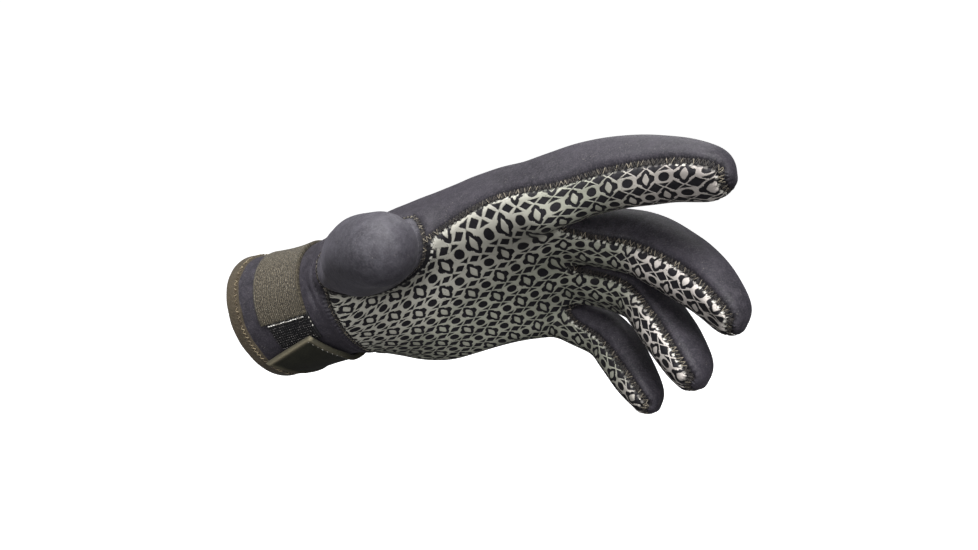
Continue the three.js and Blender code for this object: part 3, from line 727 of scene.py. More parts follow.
def make_mesh(name, points, faces, finish, places=None, tones=None, crease=52,
              stitches=None):
    """A Blender piece from whole arrays: points are turned from the hand frame into the part's
    and put in metres, and faces of several sizes are given as one array for each size."""
    mesh = bpy.data.meshes.new(name)
    corners = np.concatenate([f.ravel() for f in faces]).astype(np.int32)
    sizes = np.concatenate([np.full(len(f), f.shape[1]) for f in faces])
    starts = np.concatenate([[0], np.cumsum(sizes)[:-1]]).astype(np.int32)
    mesh.vertices.add(len(points))
    mesh.vertices.foreach_set("co", (to_row(points) * MM).astype(np.float32).ravel())
    mesh.loops.add(len(corners))
    mesh.loops.foreach_set("vertex_index", corners)
    mesh.polygons.add(len(sizes))
    mesh.polygons.foreach_set("loop_start", starts)
    mesh.polygons.foreach_set("use_smooth", np.ones(len(sizes), bool))
    mesh.update(calc_edges=True)
    for layer, values in (("cloth", places), ("seam", stitches)):
        if values is not None:
            mesh.uv_layers.new(name=layer).data.foreach_set(
                "uv", values[corners].astype(np.float32).ravel())
    if tones is not None:
        mesh.attributes.new("tone", "FLOAT", "POINT").data.foreach_set(
            "value", tones.astype(np.float32))
    mesh.set_sharp_from_angle(angle=math.radians(crease))
    mesh.materials.append(finish)
    piece = bpy.data.objects.new(name, mesh)
    bpy.context.scene.collection.objects.link(piece)
    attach(piece, "root")
    return piece


def outline(quads):
    """The edges on the rim of some faces, each running as its face does."""
    a, b = quads.ravel(), np.roll(quads, -1, axis=1).ravel()
    size = int(quads.max()) + 1
    rim = ~np.isin(a * size + b, b * size + a)
    return a[rim], b[rim]


def panel(name, nets, skin, level, tag, finish):
    """A sewn panel as one closed shell: its outer face is a level of the net, its inner face the
    level before it, a wall further in, and three triangles for each edge of the rim join them."""
    fine, coarse = nets[level], nets[level - 1]
    outer, inner = (net.faces[0][np.minimum(net.tags, CUFF_ROW) == tag] for net in (fine, coarse))
    out_ids, out_faces = np.unique(outer, return_inverse=True)
    in_ids, in_faces = np.unique(inner, return_inverse=True)
    count = len(out_ids)
    a, b = outline(inner)
    middle, a_out, b_out = np.searchsorted(out_ids, (fine.middle(a, b), a, b))
    a_in, b_in = np.searchsorted(in_ids, (a, b)) + count
    rim = np.vstack([np.stack(three, -1) for three in
                     ((middle, a_out, a_in), (middle, a_in, b_in), (b_out, middle, b_in))])
    quads = np.vstack([out_faces.reshape(-1, 4), in_faces.reshape(-1, 4)[:, ::-1] + count])
    places, stitches = (np.vstack([q[out_ids], q[in_ids]]) for q in (skin.places, skin.stitch))
    return make_mesh(name, np.vstack([skin.outer[out_ids], skin.inner[in_ids]]), [quads, rim],
                     finish, places, stitches=stitches)


def grid_faces(rows, columns, ring=False, closed=False):
    """Faces of a grid of points, row by row. In a ring each row's end meets its start, and in a
    closed grid the last row meets the first."""
    i, j = np.meshgrid(np.arange(rows - (not closed)), np.arange(columns - (not ring)),
                       indexing="ij")
    k, m = (i + 1) % rows * columns, (j + 1) % columns
    i = i * columns
    return np.stack([i + j, i + m, k + m, k + j], -1).reshape(-1, 4)


def slab(top, under):
    """A closed slab between two grids of the same size, joined all round."""
    rows, columns = top.shape[:2]
    count = rows * columns
    ids = np.arange(count).reshape(rows, columns)
    ring = np.concatenate([ids[0, :-1], ids[:-1, -1], ids[-1, :0:-1], ids[:0:-1, 0]])
    after = np.roll(ring, -1)
    sides = np.stack([ring, ring + count, after + count, after], -1)
    quads = grid_faces(rows, columns)
    quads = np.vstack([quads, quads[:, ::-1] + count, sides])
    points = np.vstack([top.reshape(-1, 3), under.reshape(-1, 3)])
    return points, outwards(points, quads)


def outwards(points, quads):
    """The same faces, turned over if the shape they close has a negative volume."""
    a, b, c, d = (points[quads[:, k]] for k in range(4))
    volume = (a * np.cross(b, c)).sum() + (a * np.cross(c, d)).sum()
    return quads if volume > 0 else quads[:, ::-1]


TUBE_END = 0.02  # a tube's ends are drawn in to this radius
TRACK_REACH = 0.9  # the way along a track is taken over this length each way
SIDES = {"zigzag": 5, "dash": 6, "hook": 4}  # of the threads and hooks
BENDS = {"zigzag": 10, "dash": 7, "hook": 5}  # points on each crossing, stitch or hook
UNEVEN = {"reach": (0.78, 1.18), "shift": (-0.16, 0.16), "height": (-0.05, 0.05)}


def tube(path, normals, radius, sides):
    """A round thread along a path: a ring of points round each of its points, drawn in at both
    ends. The ring turns with the way along the path and the normal given there. Gives its
    points, with its sides and ends as faces."""
    along = unit(np.gradient(path, axis=0))
    side = unit(np.cross(along, normals))
    up = np.cross(side, along)
    turn = 2 * math.pi * np.arange(sides) / sides
    size = np.full(len(path), radius)
    size[[0, -1]] = TUBE_END
    ring = np.cos(turn)[None, :, None] * side[:, None] + np.sin(turn)[None, :, None] * up[:, None]
    points = path[:, None] + ring * size[:, None, None]
    ends = np.vstack([np.arange(sides)[::-1], (len(path) - 1) * sides + np.arange(sides)])
    return points.reshape(-1, 3), [grid_faces(len(path), sides, True), ends]


class Track:
    """A line on the cloth, by its length: where it is, the way out of the cloth, and across."""

    def __init__(self, points, normals):
        self.points, self.normals, self.arc = points, normals, arc_lengths(points)
        self.length = self.arc[-1]

    def at(self, s):
        """The three at lengths s."""
        before = follow(s - TRACK_REACH, self.arc, self.points)
        beyond = follow(s + TRACK_REACH, self.arc, self.points)
        normal = unit(follow(s, self.arc, self.normals))
        across = unit(np.cross(normal, unit(beyond - before)))
        return follow(s, self.arc, self.points), normal, across


def join(parts):
    """Several pieces as one: points, then faces by size, and tones, all numbered on."""
    count, points, faces, tones = 0, [], {}, []
    for p, arrays, tone in parts:
        points.append(p)
        tones.append(tone)
        for f in arrays:
            faces.setdefault(f.shape[1], []).append(f + count)
        count += len(p)
    return np.vstack(points), [np.vstack(f) for f in faces.values()], np.concatenate(tones)


def zigzag(track, pitch, half, radius, phase, lift, seed):
    """Thread that crosses a line to and fro: a triangle wave across it, a little uneven, high in
    the middle of each crossing and low where the needle goes in."""
    draw = np.random.default_rng(seed)
    s = np.arange(0, track.length, pitch / BENDS["zigzag"])
    turn = 2 * (s / pitch + phase)
    wave = 2 * np.abs(2 * np.mod(turn / 2, 1) - 1) - 1
    crossings = int(turn[-1]) + 2
    uneven = np.interp(turn, np.arange(crossings), draw.uniform(*UNEVEN["reach"], crossings))
    shift = np.interp(turn, np.arange(crossings), draw.uniform(*UNEVEN["shift"], crossings)) * pitch
    where, normal, across = track.at(np.clip(s + shift, 0, track.length))
    height = lift * (1 - 1.5 * np.abs(wave) ** 4) + draw.uniform(*UNEVEN["height"], len(s))
    path = where + across * (half * wave * uneven)[:, None] + normal * height[:, None]
    points, faces = tube(path, normal, radius, SIDES["zigzag"])
    tone = np.repeat(draw.uniform(0, 1, crossings)[turn.astype(int)], SIDES["zigzag"])
    return points, faces, tone


def dashes(track, pitch, share, radius, lift, seed):
    """A running stitch: short bowed threads one behind the other along a line."""
    draw = np.random.default_rng(seed)
    parts = []
    for start in np.arange(0.3, track.length - pitch, pitch):
        t = np.linspace(0, 1, BENDS["dash"])
        where, normal, across = track.at(start + t * pitch * share)
        sway = draw.uniform(-0.12, 0.12) + draw.uniform(-0.1, 0.1) * t
        height = lift * np.sin(np.pi * t) - 0.1
        path = where + normal * height[:, None] + across * sway[:, None]
        points, faces = tube(path, normal, radius, SIDES["dash"])
        parts.append((points, faces, np.full(len(points), draw.uniform(0, 1))))
    return join(parts)


def cuff_normal(angle):
    """The way out of the cuff at an angle round it."""
    return unit(CUFF_SIDE * cosine(angle)[..., None] + CUFF_BACK * sine(angle)[..., None])


def cuff_track(h, angles, lift):
    """A line round or along the cuff, at distances h from the hem and angles."""
    h, angles, lift = np.broadcast_arrays(*(np.asarray(q, float) for q in (h, angles, lift)))
    return Track(cuff_point(h, angles, lift), cuff_normal(angles))


def maths(operation):
    """A method of Value that adds a Math node with this operation."""
    def method(self, *others):
        node = self.finish.node("ShaderNodeMath", {"operation": operation},
                                dict(enumerate((self, *others))))
        return Value(self.finish, node.outputs[0])
    return method


class Value:
    """A number inside a material. Written in expressions, it adds the Math nodes it needs."""

    def __init__(self, finish, socket):
        self.finish, self.socket = finish, socket

    __add__ = __radd__ = maths("ADD")
    __mul__ = __rmul__ = maths("MULTIPLY")
    __sub__ = maths("SUBTRACT")
    __truediv__ = maths("DIVIDE")
    __pow__ = maths("POWER")
    __abs__ = maths("ABSOLUTE")
    least = maths("MINIMUM")
    most = maths("MAXIMUM")
    rounded = maths("ROUND")
    remainder = maths("FLOORED_MODULO")
    root = maths("SQRT")
    sine = maths("SINE")
    times_plus = maths("MULTIPLY_ADD")

    def __rsub__(self, other):
        return self.times_plus(-1.0, other)

    def __neg__(self):
        return self * -1.0

    def wave(self, length):
        """A sine of this length, from 0 to 1."""
        return (self * (2 * math.pi / length)).sine() * 0.5 + 0.5

    def step(self, low, high):
        """A soft step: 0 up to low and 1 from high, or the other way round if high is lower."""
        if high < low:
            return 1.0 - self.step(high, low)
        node = self.finish.node("ShaderNodeMapRange", {"interpolation_type": "SMOOTHSTEP"},
                                {0: self, 1: low, 2: high, 3: 0.0, 4: 1.0})
        return Value(self.finish, node.outputs[0])


class Finish:
    """A material: its shader with the constants of the finish, and short ways to add nodes."""

    def __init__(self, name, **constants):
        self.material = bpy.data.materials.new(name)
        self.material.use_nodes = True
        self.tree = self.material.node_tree
        self.shader = self.tree.nodes["Principled BSDF"]
        for socket, value in constants.items():
            self.shader.inputs[socket.replace("_", " ")].default_value = value

    def node(self, kind, settings=None, inputs=None):
        """Any node: its type, its settings, then the values or links of its sockets."""
        node = self.tree.nodes.new(kind)
        for key, value in (settings or {}).items():
            setattr(node, key, value)
        for key, value in (inputs or {}).items():
            self.put(node.inputs[key], value)
        return node

    def put(self, socket, value):
        """A link from another socket or a Value, or else the value itself."""
        source = getattr(value, "socket", value)
        if isinstance(source, bpy.types.NodeSocket):
            self.tree.links.new(source, socket)
        else:
            socket.default_value = source

    def feed(self, **inputs):
        """What changes over the surface goes into the shader's own sockets."""
        for socket, value in inputs.items():
            self.put(self.shader.inputs[socket.replace("_", " ")], value)

    def place(self):
        """The point on the object, in metres."""
        return self.node("ShaderNodeTexCoord").outputs["Object"]

    def cloth(self, name="cloth"):
        """The two coordinates of one of the piece's own maps."""
        map_node = self.node("ShaderNodeUVMap", {"uv_map": name})
        parts = self.node("ShaderNodeSeparateXYZ", None, {0: map_node.outputs[0]})
        return Value(self, parts.outputs[0]), Value(self, parts.outputs[1])

    def vector(self, x, y, z):
        """A place made of three numbers."""
        return self.node("ShaderNodeCombineXYZ", None, {0: x, 1: y, 2: z}).outputs[0]

    def noise(self, size, detail=2.0, at=None):
        """Noise from 0 to 1 with lumps of about the given size, in the units of its place."""
        at = self.place() if at is None else at
        node = self.node("ShaderNodeTexNoise", None, {
            "Vector": at, "Scale": 1.0 / size, "Detail": detail, "Roughness": 0.55})
        return Value(self, node.outputs["Fac"])

    def thread_noise(self, x, y, z=0.0, detail=2.0):
        """Noise with lumps of 1 at a place made of three numbers."""
        return self.noise(1.0, detail, self.vector(x, y, z))

    def tone(self):
        """The piece's own shade, from 0 to 1, kept at its points."""
        node = self.node("ShaderNodeAttribute", {"attribute_name": "tone"})
        return Value(self, node.outputs["Fac"])

    def mix(self, share, first, second):
        """A colour between two, by a share from 0 to 1."""
        node = self.node("ShaderNodeMix", {"data_type": "RGBA"},
                         {0: share, 6: paint(first), 7: paint(second)})
        return node.outputs[2]

    def done(self, colour, rough, height, distance):
        """The finished material. The height feeds a Bump node, in units of a distance in metres."""
        bumps = self.node("ShaderNodeBump", None,
                          {"Height": height, "Distance": distance, "Strength": 1.0})
        self.feed(Base_Color=colour, Roughness=rough, Normal=bumps.outputs[0])
        return self.material


def paint(colour):
    """A colour given as three numbers from 0 to 255, as a screen shows it, in linear light."""
    if not isinstance(colour, tuple):
        return colour
    c = np.array(colour, float) / 255
    linear = np.where(c <= 0.04045, c / 12.92, ((c + 0.055) / 1.055) ** 2.4)
    return (*(float(x) for x in linear), 1.0)


# The look of seams in the cloth, in mm from the seam and along it: where the needle holes' painted
# shade and the knots' painted highlights lie.
NEEDLE = {"at": 1.45, "pitch": 1.05}
KNOT = {"at": 1.35, "pitch": 2.7}


def neoprene_surface(finish):
    """Charcoal knit face of the neoprene: base colour, roughness and height, and the lengths from
    the nearest seam and along it. The knit is fine noise, the mottling is noise of 3 mm and
    30 mm, and within a millimetre of a seam the cloth is darkened as painted shade in its
    furrow, with more painted shade in a needle hole at each end of a stitch."""
    d, s = finish.cloth("seam")
    patches = finish.noise(0.030)
    mottle = finish.noise(0.0030, 3.0)
    knit = finish.noise(0.00065)
    lint = finish.noise(0.00045, 0.0).step(0.735, 0.79) * finish.noise(0.004, 1.0).step(0.5, 0.7)
    base = finish.mix(patches.step(0.3, 0.7), (34, 32, 38), (46, 43, 51))
    base = finish.mix(mottle.step(0.4, 0.7) * 0.55, base, (62, 58, 66))
    base = finish.mix(knit.step(0.42, 0.7) * 0.4, base, (84, 80, 86))
    base = finish.mix(lint * 0.35, base, (168, 162, 154))
    # Painted shade: the seam's furrow and its needle holes are darkened towards (17, 15, 18).
    needle_hole_shade = abs(d - NEEDLE["at"]).step(0.55, 0.2) * s.wave(NEEDLE["pitch"]).step(0.55, 0.85)
    furrow = d.step(1.9, 0.6) * 0.85
    shade = furrow.most(needle_hole_shade * 0.7)
    colour = finish.mix(shade, base, (17, 15, 18))
    rough = 0.56 + mottle * 0.16 - patches * 0.08
    height = knit * 0.5 + mottle * 0.8
    return colour, rough, height, d, s


def make_neoprene(name, paleness):
    """The neoprene's plain face. A share makes it paler in mottled patches; the thumb's copy is
    made paler this way as painted light, for the brighter light on the thumb.
    """
    finish = Finish(name, Sheen_Weight=0.12, Sheen_Roughness=0.4,
                    Sheen_Tint=paint((190, 186, 200)), Specular_IOR_Level=0.38)
    colour, rough, height, _, _ = neoprene_surface(finish)
    mottle = finish.noise(0.0026)
    colour = finish.mix((mottle.step(0.35, 0.65) + 1.0) * (paleness / 2), colour, (108, 107, 114))
    return finish.done(colour, rough, height, 0.00018)


def make_print():
    """Neoprene with a raised rubbery print: a plain lattice of dots and rings in cells of 8 mm.

    In each cell, a runs along the fingers and b across from the cell's middle. A dark dot is an
    ellipse in the cells whose numbers add to an odd sum, with a dark sliver each side; a ring is a
    rounded diamond with two ears and a light diamond in it; dark lozenges fill the corners. Close
    to a seam the print stops, showing the painted shade of the furrow, and knots between stitches
    get painted highlights. The print is also painted paler as highlight near the index's root
    and in a band where the fingers curl."""
    finish = Finish("grip_print", Sheen_Weight=0.02, Sheen_Roughness=0.5, Specular_IOR_Level=0.35)
    colour, rough, height, d, s = neoprene_surface(finish)
    half = PRINT_CELL / 2
    u, v = finish.cloth()
    fuzz = finish.noise(0.0011) - 0.5
    i, j = u.rounded(), v.rounded()
    a = abs(u - i) * PRINT_CELL
    b = abs(v - j) * PRINT_CELL
    ring = (i + j).remainder(2.0).step(0.6, 0.4)

    def ellipse(half_a, half_b, at_a=0.0, at_b=0.0):
        """How far past the rim of an ellipse, in mm: its radius less one, times its half width."""
        across = (a - at_a) / half_a
        up = (b - at_b) / half_b
        return ((across * across + up * up).root() - 1.0) * min(half_a, half_b)

    def diamond(half_a, half_b, power):
        """How far past the rim of a rounded diamond: a power sum of both shares of its halves."""
        total = (a / half_a) ** power + (b / half_b) ** power
        return (total ** (1.0 / power) - 1.0) * (min(half_a, half_b) * 0.8)

    dot = ellipse(2.3, 1.72)
    sliver = (a / 2.35 + (b - 2.42) / 1.4 - 1.0).most(2.42 - b) * 0.8
    odd = dot.least(sliver)
    body = diamond(3.25, 3.7, 1.4).least(ellipse(1.35, 1.3, 2.75, 0.0))
    core = diamond(1.58, 2.3, 1.3)
    notch = ellipse(0.5, 0.5, 2.3, 2.1)
    even = body.most(-core).most(-notch)
    wide = u.step(9.5, 12.5)
    root = u.step(9.6, 6.2) * v.step(3.0, 0.8)
    corner = ((half - a) / (3.25 - root * 0.6) + (half - b) / (wide * 0.65 + 1.5 - root * 0.3)
              - 1.0) * 1.2
    inside = (even * ring + odd * (1.0 - ring)).least(corner)
    printed = (inside + fuzz * 0.34).step(-0.11, 0.13)
    uneven = finish.noise(0.0026, 1.0)
    # Painted highlight: knots of print between the stitches are made near white, as if catching the
    # light; bright sets how strongly.
    bright = finish.noise(0.016, 0.0).step(0.40, 0.58) * 0.75 + 0.25
    knot_highlight = s.wave(KNOT["pitch"]).step(0.3, 0.75) * abs(d - KNOT["at"]).step(0.9, 0.4)
    knot_highlight = knot_highlight * uneven.step(0.34, 0.52) * bright
    edge = (d - s.wave(KNOT["pitch"]) * 0.7 - uneven * 0.6).step(0.8, 1.2)
    gone = (finish.noise(0.0007, 1.0) * 0.6 + finish.noise(0.012) * 0.4).step(0.63, 0.7)
    cover = (printed * edge * (1.0 - gone * 0.6)).most(knot_highlight)
    shift = finish.noise(0.02).step(0.3, 0.7)
    tint = finish.mix(shift, (152, 153, 140), (171, 172, 158))
    tint = finish.mix(u.step(10.5, 14.5), tint, finish.mix(shift, (170, 163, 158), (190, 183, 178)))
    # Painted highlight: near the index's root the print is made paler, standing in for light
    # falling there.
    tint = finish.mix(root * 0.35, tint, (218, 212, 205))
    # Painted highlight: a band across the fingers where they curl is made near white, for the light
    # on the bend.
    curl_highlight = u.step(11.0, 13.5) * v.step(1.1, 1.7)
    tint = finish.mix(curl_highlight * 0.6, tint, (232, 224, 218))
    worn = finish.noise(0.0016, 3.0).step(0.62, 0.78)
    tint = finish.mix(worn * 0.4, tint, (130, 128, 116))
    tint = finish.mix(finish.noise(0.006, 1.0).step(0.5, 0.8) * 0.4, tint, (200, 197, 185))
    # Painted highlight on the knots.
    tint = finish.mix(knot_highlight * 0.8, tint, (226, 224, 214))
    final = finish.mix(cover, finish.mix(0.8, colour, (13, 12, 17)), tint)
    relief = cover * 1.2 + height * (1.0 - cover * 0.6) * 0.5
    return finish.done(final, rough * (1.0 - cover) + cover * 0.42, relief, 0.0003)


# The tapes on the cuff: low and high edge in mm from the hem, start and end in degrees round it.
# centre: where the weave is palest. over: height that lengths are measured at. count and step:
# of the stations along and the faces across. lift: of the tape's middle. soft: radius of the
# rims. pitch and radius: of the hooks. The binding has two faces and a mean radius of the hem.
STRAP = {"low": 16.3, "high": 44.2, "start": 236.2, "end": 20.0, "centre": 30.2, "count": 300,
         "over": 2.0, "step": 1.1, "lift": 0.85, "thick": 2.3, "soft": 0.6}
HOOKS = {"low": 20.0, "high": 45.0, "start": 264.0, "end": 234.0, "count": 60,
         "over": 1.5, "step": 1.2, "lift": 0.6, "thick": 1.5, "soft": 0.4,
         "pitch": 1.25, "radius": 0.19}
HEM_TAPE = {"low": -0.45, "high": 6.9, "inside": -3.15, "outside": 0.75, "radius": 32.3}
TAPE_MIDDLE = 28.0  # distance from the hem at which both tapes' lengths are measured
ALONG = 0.9  # length of a tape's faces
# The strap's free end: for each station the distance from the hem and angle of one edge, the
# same of the other edge, and the height over the cuff.
TAB = (
    (8.2, -91, 40.8, -104, 3.4),
    (11.5, -80, 47, -84, 3.3),
    (15, -62, 49, -68, 2.5),
    (16.6, -46, 45.5, -47, 1.7),
    (16.8, -16, 44.2, -16, 1.5),
    (16.8, 6, 44.2, 6, 1.6),
    (16.8, 18, 44.2, 18, 3.0),
    (16.8, 31, 44.2, 31, 3.1),
)
TAB_THICK = 1.8
BORDER = (1.3, 1.15)  # its rolled border: how far in from the rim its crest is, and its width
RIB = 1.15  # the strap's rubber cords lie this far apart
PICK = 0.9  # length of one crossing of its thread


def make_webbing():
    """Woven elastic: ribs of rubber cords along the tape, with thread crossing them to and fro;
    fibres of two browns are mixed by fine streaks across the ribs."""
    finish = Finish("webbing_olive", Sheen_Weight=0.1, Sheen_Roughness=0.5, Specular_IOR_Level=0.3)
    u, v = finish.cloth()
    rib = v.wave(RIB)
    pick = (u * (2 * math.pi / PICK) + (v / RIB).rounded() * math.pi).sine() * 0.5 + 0.5
    streak = finish.thread_noise(u / 1.1, v / 0.7)
    drift = finish.thread_noise(u / 14.0, v / 3.0)
    spot = finish.thread_noise(u / 0.9, v / 0.9, 7.0, 1.0)
    base = finish.mix(streak.step(0.35, 0.65), (38, 33, 25), (112, 103, 86))
    base = finish.mix(drift.step(0.35, 0.7) * 0.3, base, (84, 79, 64))
    base = finish.mix(spot.step(0.58, 0.7) * 0.6, base, (160, 152, 136))
    base = finish.mix(abs(v - STRAP["centre"]).step(11.5, 14.0) * 0.45, base, (46, 42, 32))
    # Painted shade: the troughs between the ribs are darkened.
    colour = finish.mix((1.0 - rib) * (1.0 - rib) * 0.7, base, (26, 22, 16))
    height = rib * 0.9 + pick * rib * 0.5 + streak * 0.3
    return finish.done(colour, 0.72 + spot * 0.2, height, 0.00022)


def make_olive_knit():
    """The strap's smooth free end: a close olive knit, fine diagonal grain and soft mottling."""
    finish = Finish("tab_olive", Sheen_Weight=0.04, Sheen_Roughness=0.5, Specular_IOR_Level=0.2)
    u, v = finish.cloth()
    grain = finish.thread_noise((u + v) / 0.35, (u - v) / 0.9)
    mottle = finish.noise(0.006, 3.0)
    border = finish.tone()
    base = finish.mix(mottle.step(0.3, 0.7), (26, 27, 21), (37, 37, 29))
    base = finish.mix(grain.step(0.4, 0.7) * 0.4, base, (66, 64, 52))
    colour = finish.mix(border * 0.7, base, (142, 134, 112))
    return finish.done(colour, 0.7 + grain * 0.15, grain * 0.6 + mottle, 0.00014)


def make_binding():
    """The hem's binding: a fine rib across the tape with a stretchy crosswise grain."""
    finish = Finish("binding_olive", Sheen_Weight=0.12, Sheen_Roughness=0.5, Specular_IOR_Level=0.3)
    u, v = finish.cloth()
    rib = u.wave(0.7)
    grain = finish.thread_noise(u / 0.3, v / 0.8)
    mottle = finish.noise(0.007, 3.0)
    base = finish.mix(mottle.step(0.3, 0.7), (62, 54, 43), (80, 71, 58))
    base = finish.mix(grain.step(0.45, 0.75) * 0.5, base, (124, 112, 86))
    # Painted shade: the troughs of the fine rib are darkened.
    colour = finish.mix((1.0 - rib) * 0.45, base, (44, 38, 27))
    return finish.done(colour, 0.74 + grain * 0.16, rib * 0.7 + grain * 0.5, 0.00018)


def make_hooks():
    """Black nylon of the hook patch: a close woven ground under glossy hooks, each hook painted
    lighter by its tone as a painted glint.
    """
    finish = Finish("hook_black", Specular_IOR_Level=0.5)
    grain = finish.noise(0.0007)
    dust = finish.noise(0.0016).step(0.62, 0.78)
    base = finish.mix(grain, (10, 10, 12), (26, 25, 28))
    base = finish.mix(dust * 0.3, base, (92, 90, 90))
    # Painted highlight: each hook's tone lightens it, standing in for glints.
    colour = finish.mix(finish.tone(), base, (112, 108, 106))
    return finish.done(colour, 0.4 + grain * 0.3, grain, 0.00015)


def make_thread(name, dull, bright, share):
    """Thread: twisted ply as fine slanted noise, each stitch a shade from dull to bright."""
    finish = Finish(name, Sheen_Weight=0.2, Sheen_Roughness=0.4)
    ply = finish.noise(0.0004, 1.0)
    colour = finish.mix(finish.tone().step(share - 0.12, share + 0.12), dull, bright)
    colour = finish.mix(ply.step(0.45, 0.7) * 0.35, colour, dull)
    return finish.done(colour, 0.5 + ply * 0.2, ply, 0.0001)


def spaced(first, last, step, soft):
    """Stations from first to last with closer ones where both ends are rounded."""
    way = math.copysign(1.0, last - first)
    inner = np.linspace(first + way * soft, last - way * soft,
                        max(2, int(abs(last - first) / step)))
    near = np.array((0.0, 0.12, 0.45)) * soft * way
    return np.concatenate([first + near, inner, last - near[::-1]])


def round_over(d, soft):
    """The share of its thickness that a pad has at a distance from its rim: a quarter circle."""
    return 0.12 + 0.88 * np.sqrt(np.clip(1 - (1 - np.clip(d / soft, 0, 1)) ** 2, 0, 1))


def both_faces(u, v):
    """The map of a slab: the same places on its top and its underside."""
    return np.tile(np.stack([u, v], -1).reshape(-1, 2), (2, 1))


def tape_grid(tape):
    """A grid of lengths in mm along and across a tape, with the angle round the cuff of each, and
    the arc and angles that give it."""
    angles = np.linspace(tape["start"], tape["end"], tape["count"])
    arc = arc_lengths(cuff_point(TAPE_MIDDLE, angles, tape["over"]))
    u, v = np.meshgrid(spaced(0.0, arc[-1], ALONG, tape["soft"]),
                       spaced(tape["low"], tape["high"], tape["step"], tape["soft"]),
                       indexing="ij")
    return u, v, np.interp(u, arc, angles), arc, angles


def pad_on_cuff(tape, u, v, h, angle, relief=0.0):
    """A tape on the cuff: u and v are its lengths in mm along and across, h and angle its place
    on the same grid. Its rims are rounded by quarter circles."""
    d = np.minimum(np.minimum(u - u.min(), u.max() - u), np.minimum(v - v.min(), v.max() - v))
    half = tape["thick"] / 2 * round_over(d, tape["soft"])
    return *slab(cuff_point(h, angle, tape["lift"] + half + relief),
                 cuff_point(h, angle, tape["lift"] - half)), both_faces(u, v)


def make_strap(finish):
    """The woven strap: a rounded tape round the cuff, its length the arc along the cuff. Its face
    sags in slow sine waves, and it strays by a third of a millimetre to both sides."""
    u, v, angle, _, _ = tape_grid(STRAP)
    sag = 0.22 * np.sin(u / 11.0 + 0.6) * bell(v, 30, 16) + 0.12 * np.sin(u / 4.3) * bell(v, 14, 5)
    points, quads, places = pad_on_cuff(STRAP, u, v, v + 0.35 * np.sin(u / 17.0), angle, sag)
    return make_mesh("strap_woven", points, [quads], finish, places)


def tab_grid(t, w):
    """The strap's free end between its two edges: rows of TAB joined by Catmull-Rom curves along
    t, straight across w, as distance from the hem, angle and height over the cuff."""
    rows = np.array(TAB)
    i = np.minimum(len(rows) - 2, np.floor(t).astype(int))
    f = (t - i)[..., None]
    a, b, c, d = (rows[np.clip(i + k, 0, len(rows) - 1)] for k in (-1, 0, 1, 2))
    row = b + 0.5 * f * (c - a + f * (2 * a - 5 * b + 4 * c - d + f * (3 * (b - c) + d - a)))
    h = row[..., 0] + (row[..., 2] - row[..., 0]) * w
    angle = row[..., 1] + (row[..., 3] - row[..., 1]) * w
    return h, angle, row[..., 4]


def make_tab(finish):
    """The free end of the strap: a smooth slanted flap with a rolled border round its edge."""
    t, w = np.meshgrid(spaced(0.0, len(TAB) - 1.0, 0.035, 0.02), spaced(0.0, 1.0, 0.03, 0.02),
                       indexing="ij")
    h, angle, lift = tab_grid(t, w)
    middle = cuff_point(h, angle, lift)
    u = arc_lengths(middle)
    v = arc_lengths(middle.swapaxes(0, 1)).T
    rim = np.minimum(u, np.minimum(v, v[:, -1:] - v))
    half = TAB_THICK / 2 * round_over(np.minimum(rim, u.max() - u), 0.6)
    border = bell(rim, *BORDER)
    sag = 0.3 * np.sin(u / 9.0) * bell(v, 15, 9)
    points, quads = slab(cuff_point(h, angle, lift + half + 0.75 * border + sag),
                         cuff_point(h, angle, lift - half - 0.15 * border + sag))
    tone = np.maximum(bell(u, *BORDER), 0.4 * border).ravel()
    return make_mesh("strap_free_end", points, [quads], finish, both_faces(u, v),
                     np.tile(tone, 2))


def make_hook_patch(finish):
    """The hook patch: a low pad with rows of small bent hooks."""
    u, v, angle, arc, angles = tape_grid(HOOKS)
    points, quads, _ = pad_on_cuff(HOOKS, u, v, v, angle)
    parts = [(points, [quads], np.zeros(len(points)))]
    draw = np.random.default_rng(11)
    t = np.linspace(0, 1, BENDS["hook"])
    rise = 1.25 + 0.75 * np.sin(t * 2.3)
    for at_u in np.arange(0.8, arc[-1] - 0.5, HOOKS["pitch"]):
        for at_v in np.arange(HOOKS["low"] + 0.9, HOOKS["high"] - 0.6, HOOKS["pitch"]):
            lean = draw.uniform(-0.12, 0.12, 2)
            h = at_v + (0.45 * (1 - np.cos(t * 2.6)) - 0.25) + lean[0]
            angle = np.interp(at_u + lean[1] + 0 * t, arc, angles)
            path = cuff_point(h, angle, rise)
            points, faces = tube(path, cuff_normal(angle + 90), HOOKS["radius"], SIDES["hook"])
            # Painted highlight: a few hooks get a high tone, drawn lighter as glints.
            parts.append((points, faces, np.full(len(points), draw.uniform(0, 1) ** 3)))
    points, faces, tones = join(parts)
    return make_mesh("hook_pad", points, faces, finish, None, tones)


def round_box(turn, low, high, power):
    """One measure of a superellipse: a power of the cosine or sine between two sides."""
    return (low + high) / 2 + (high - low) / 2 * np.sign(turn) * np.abs(turn) ** power


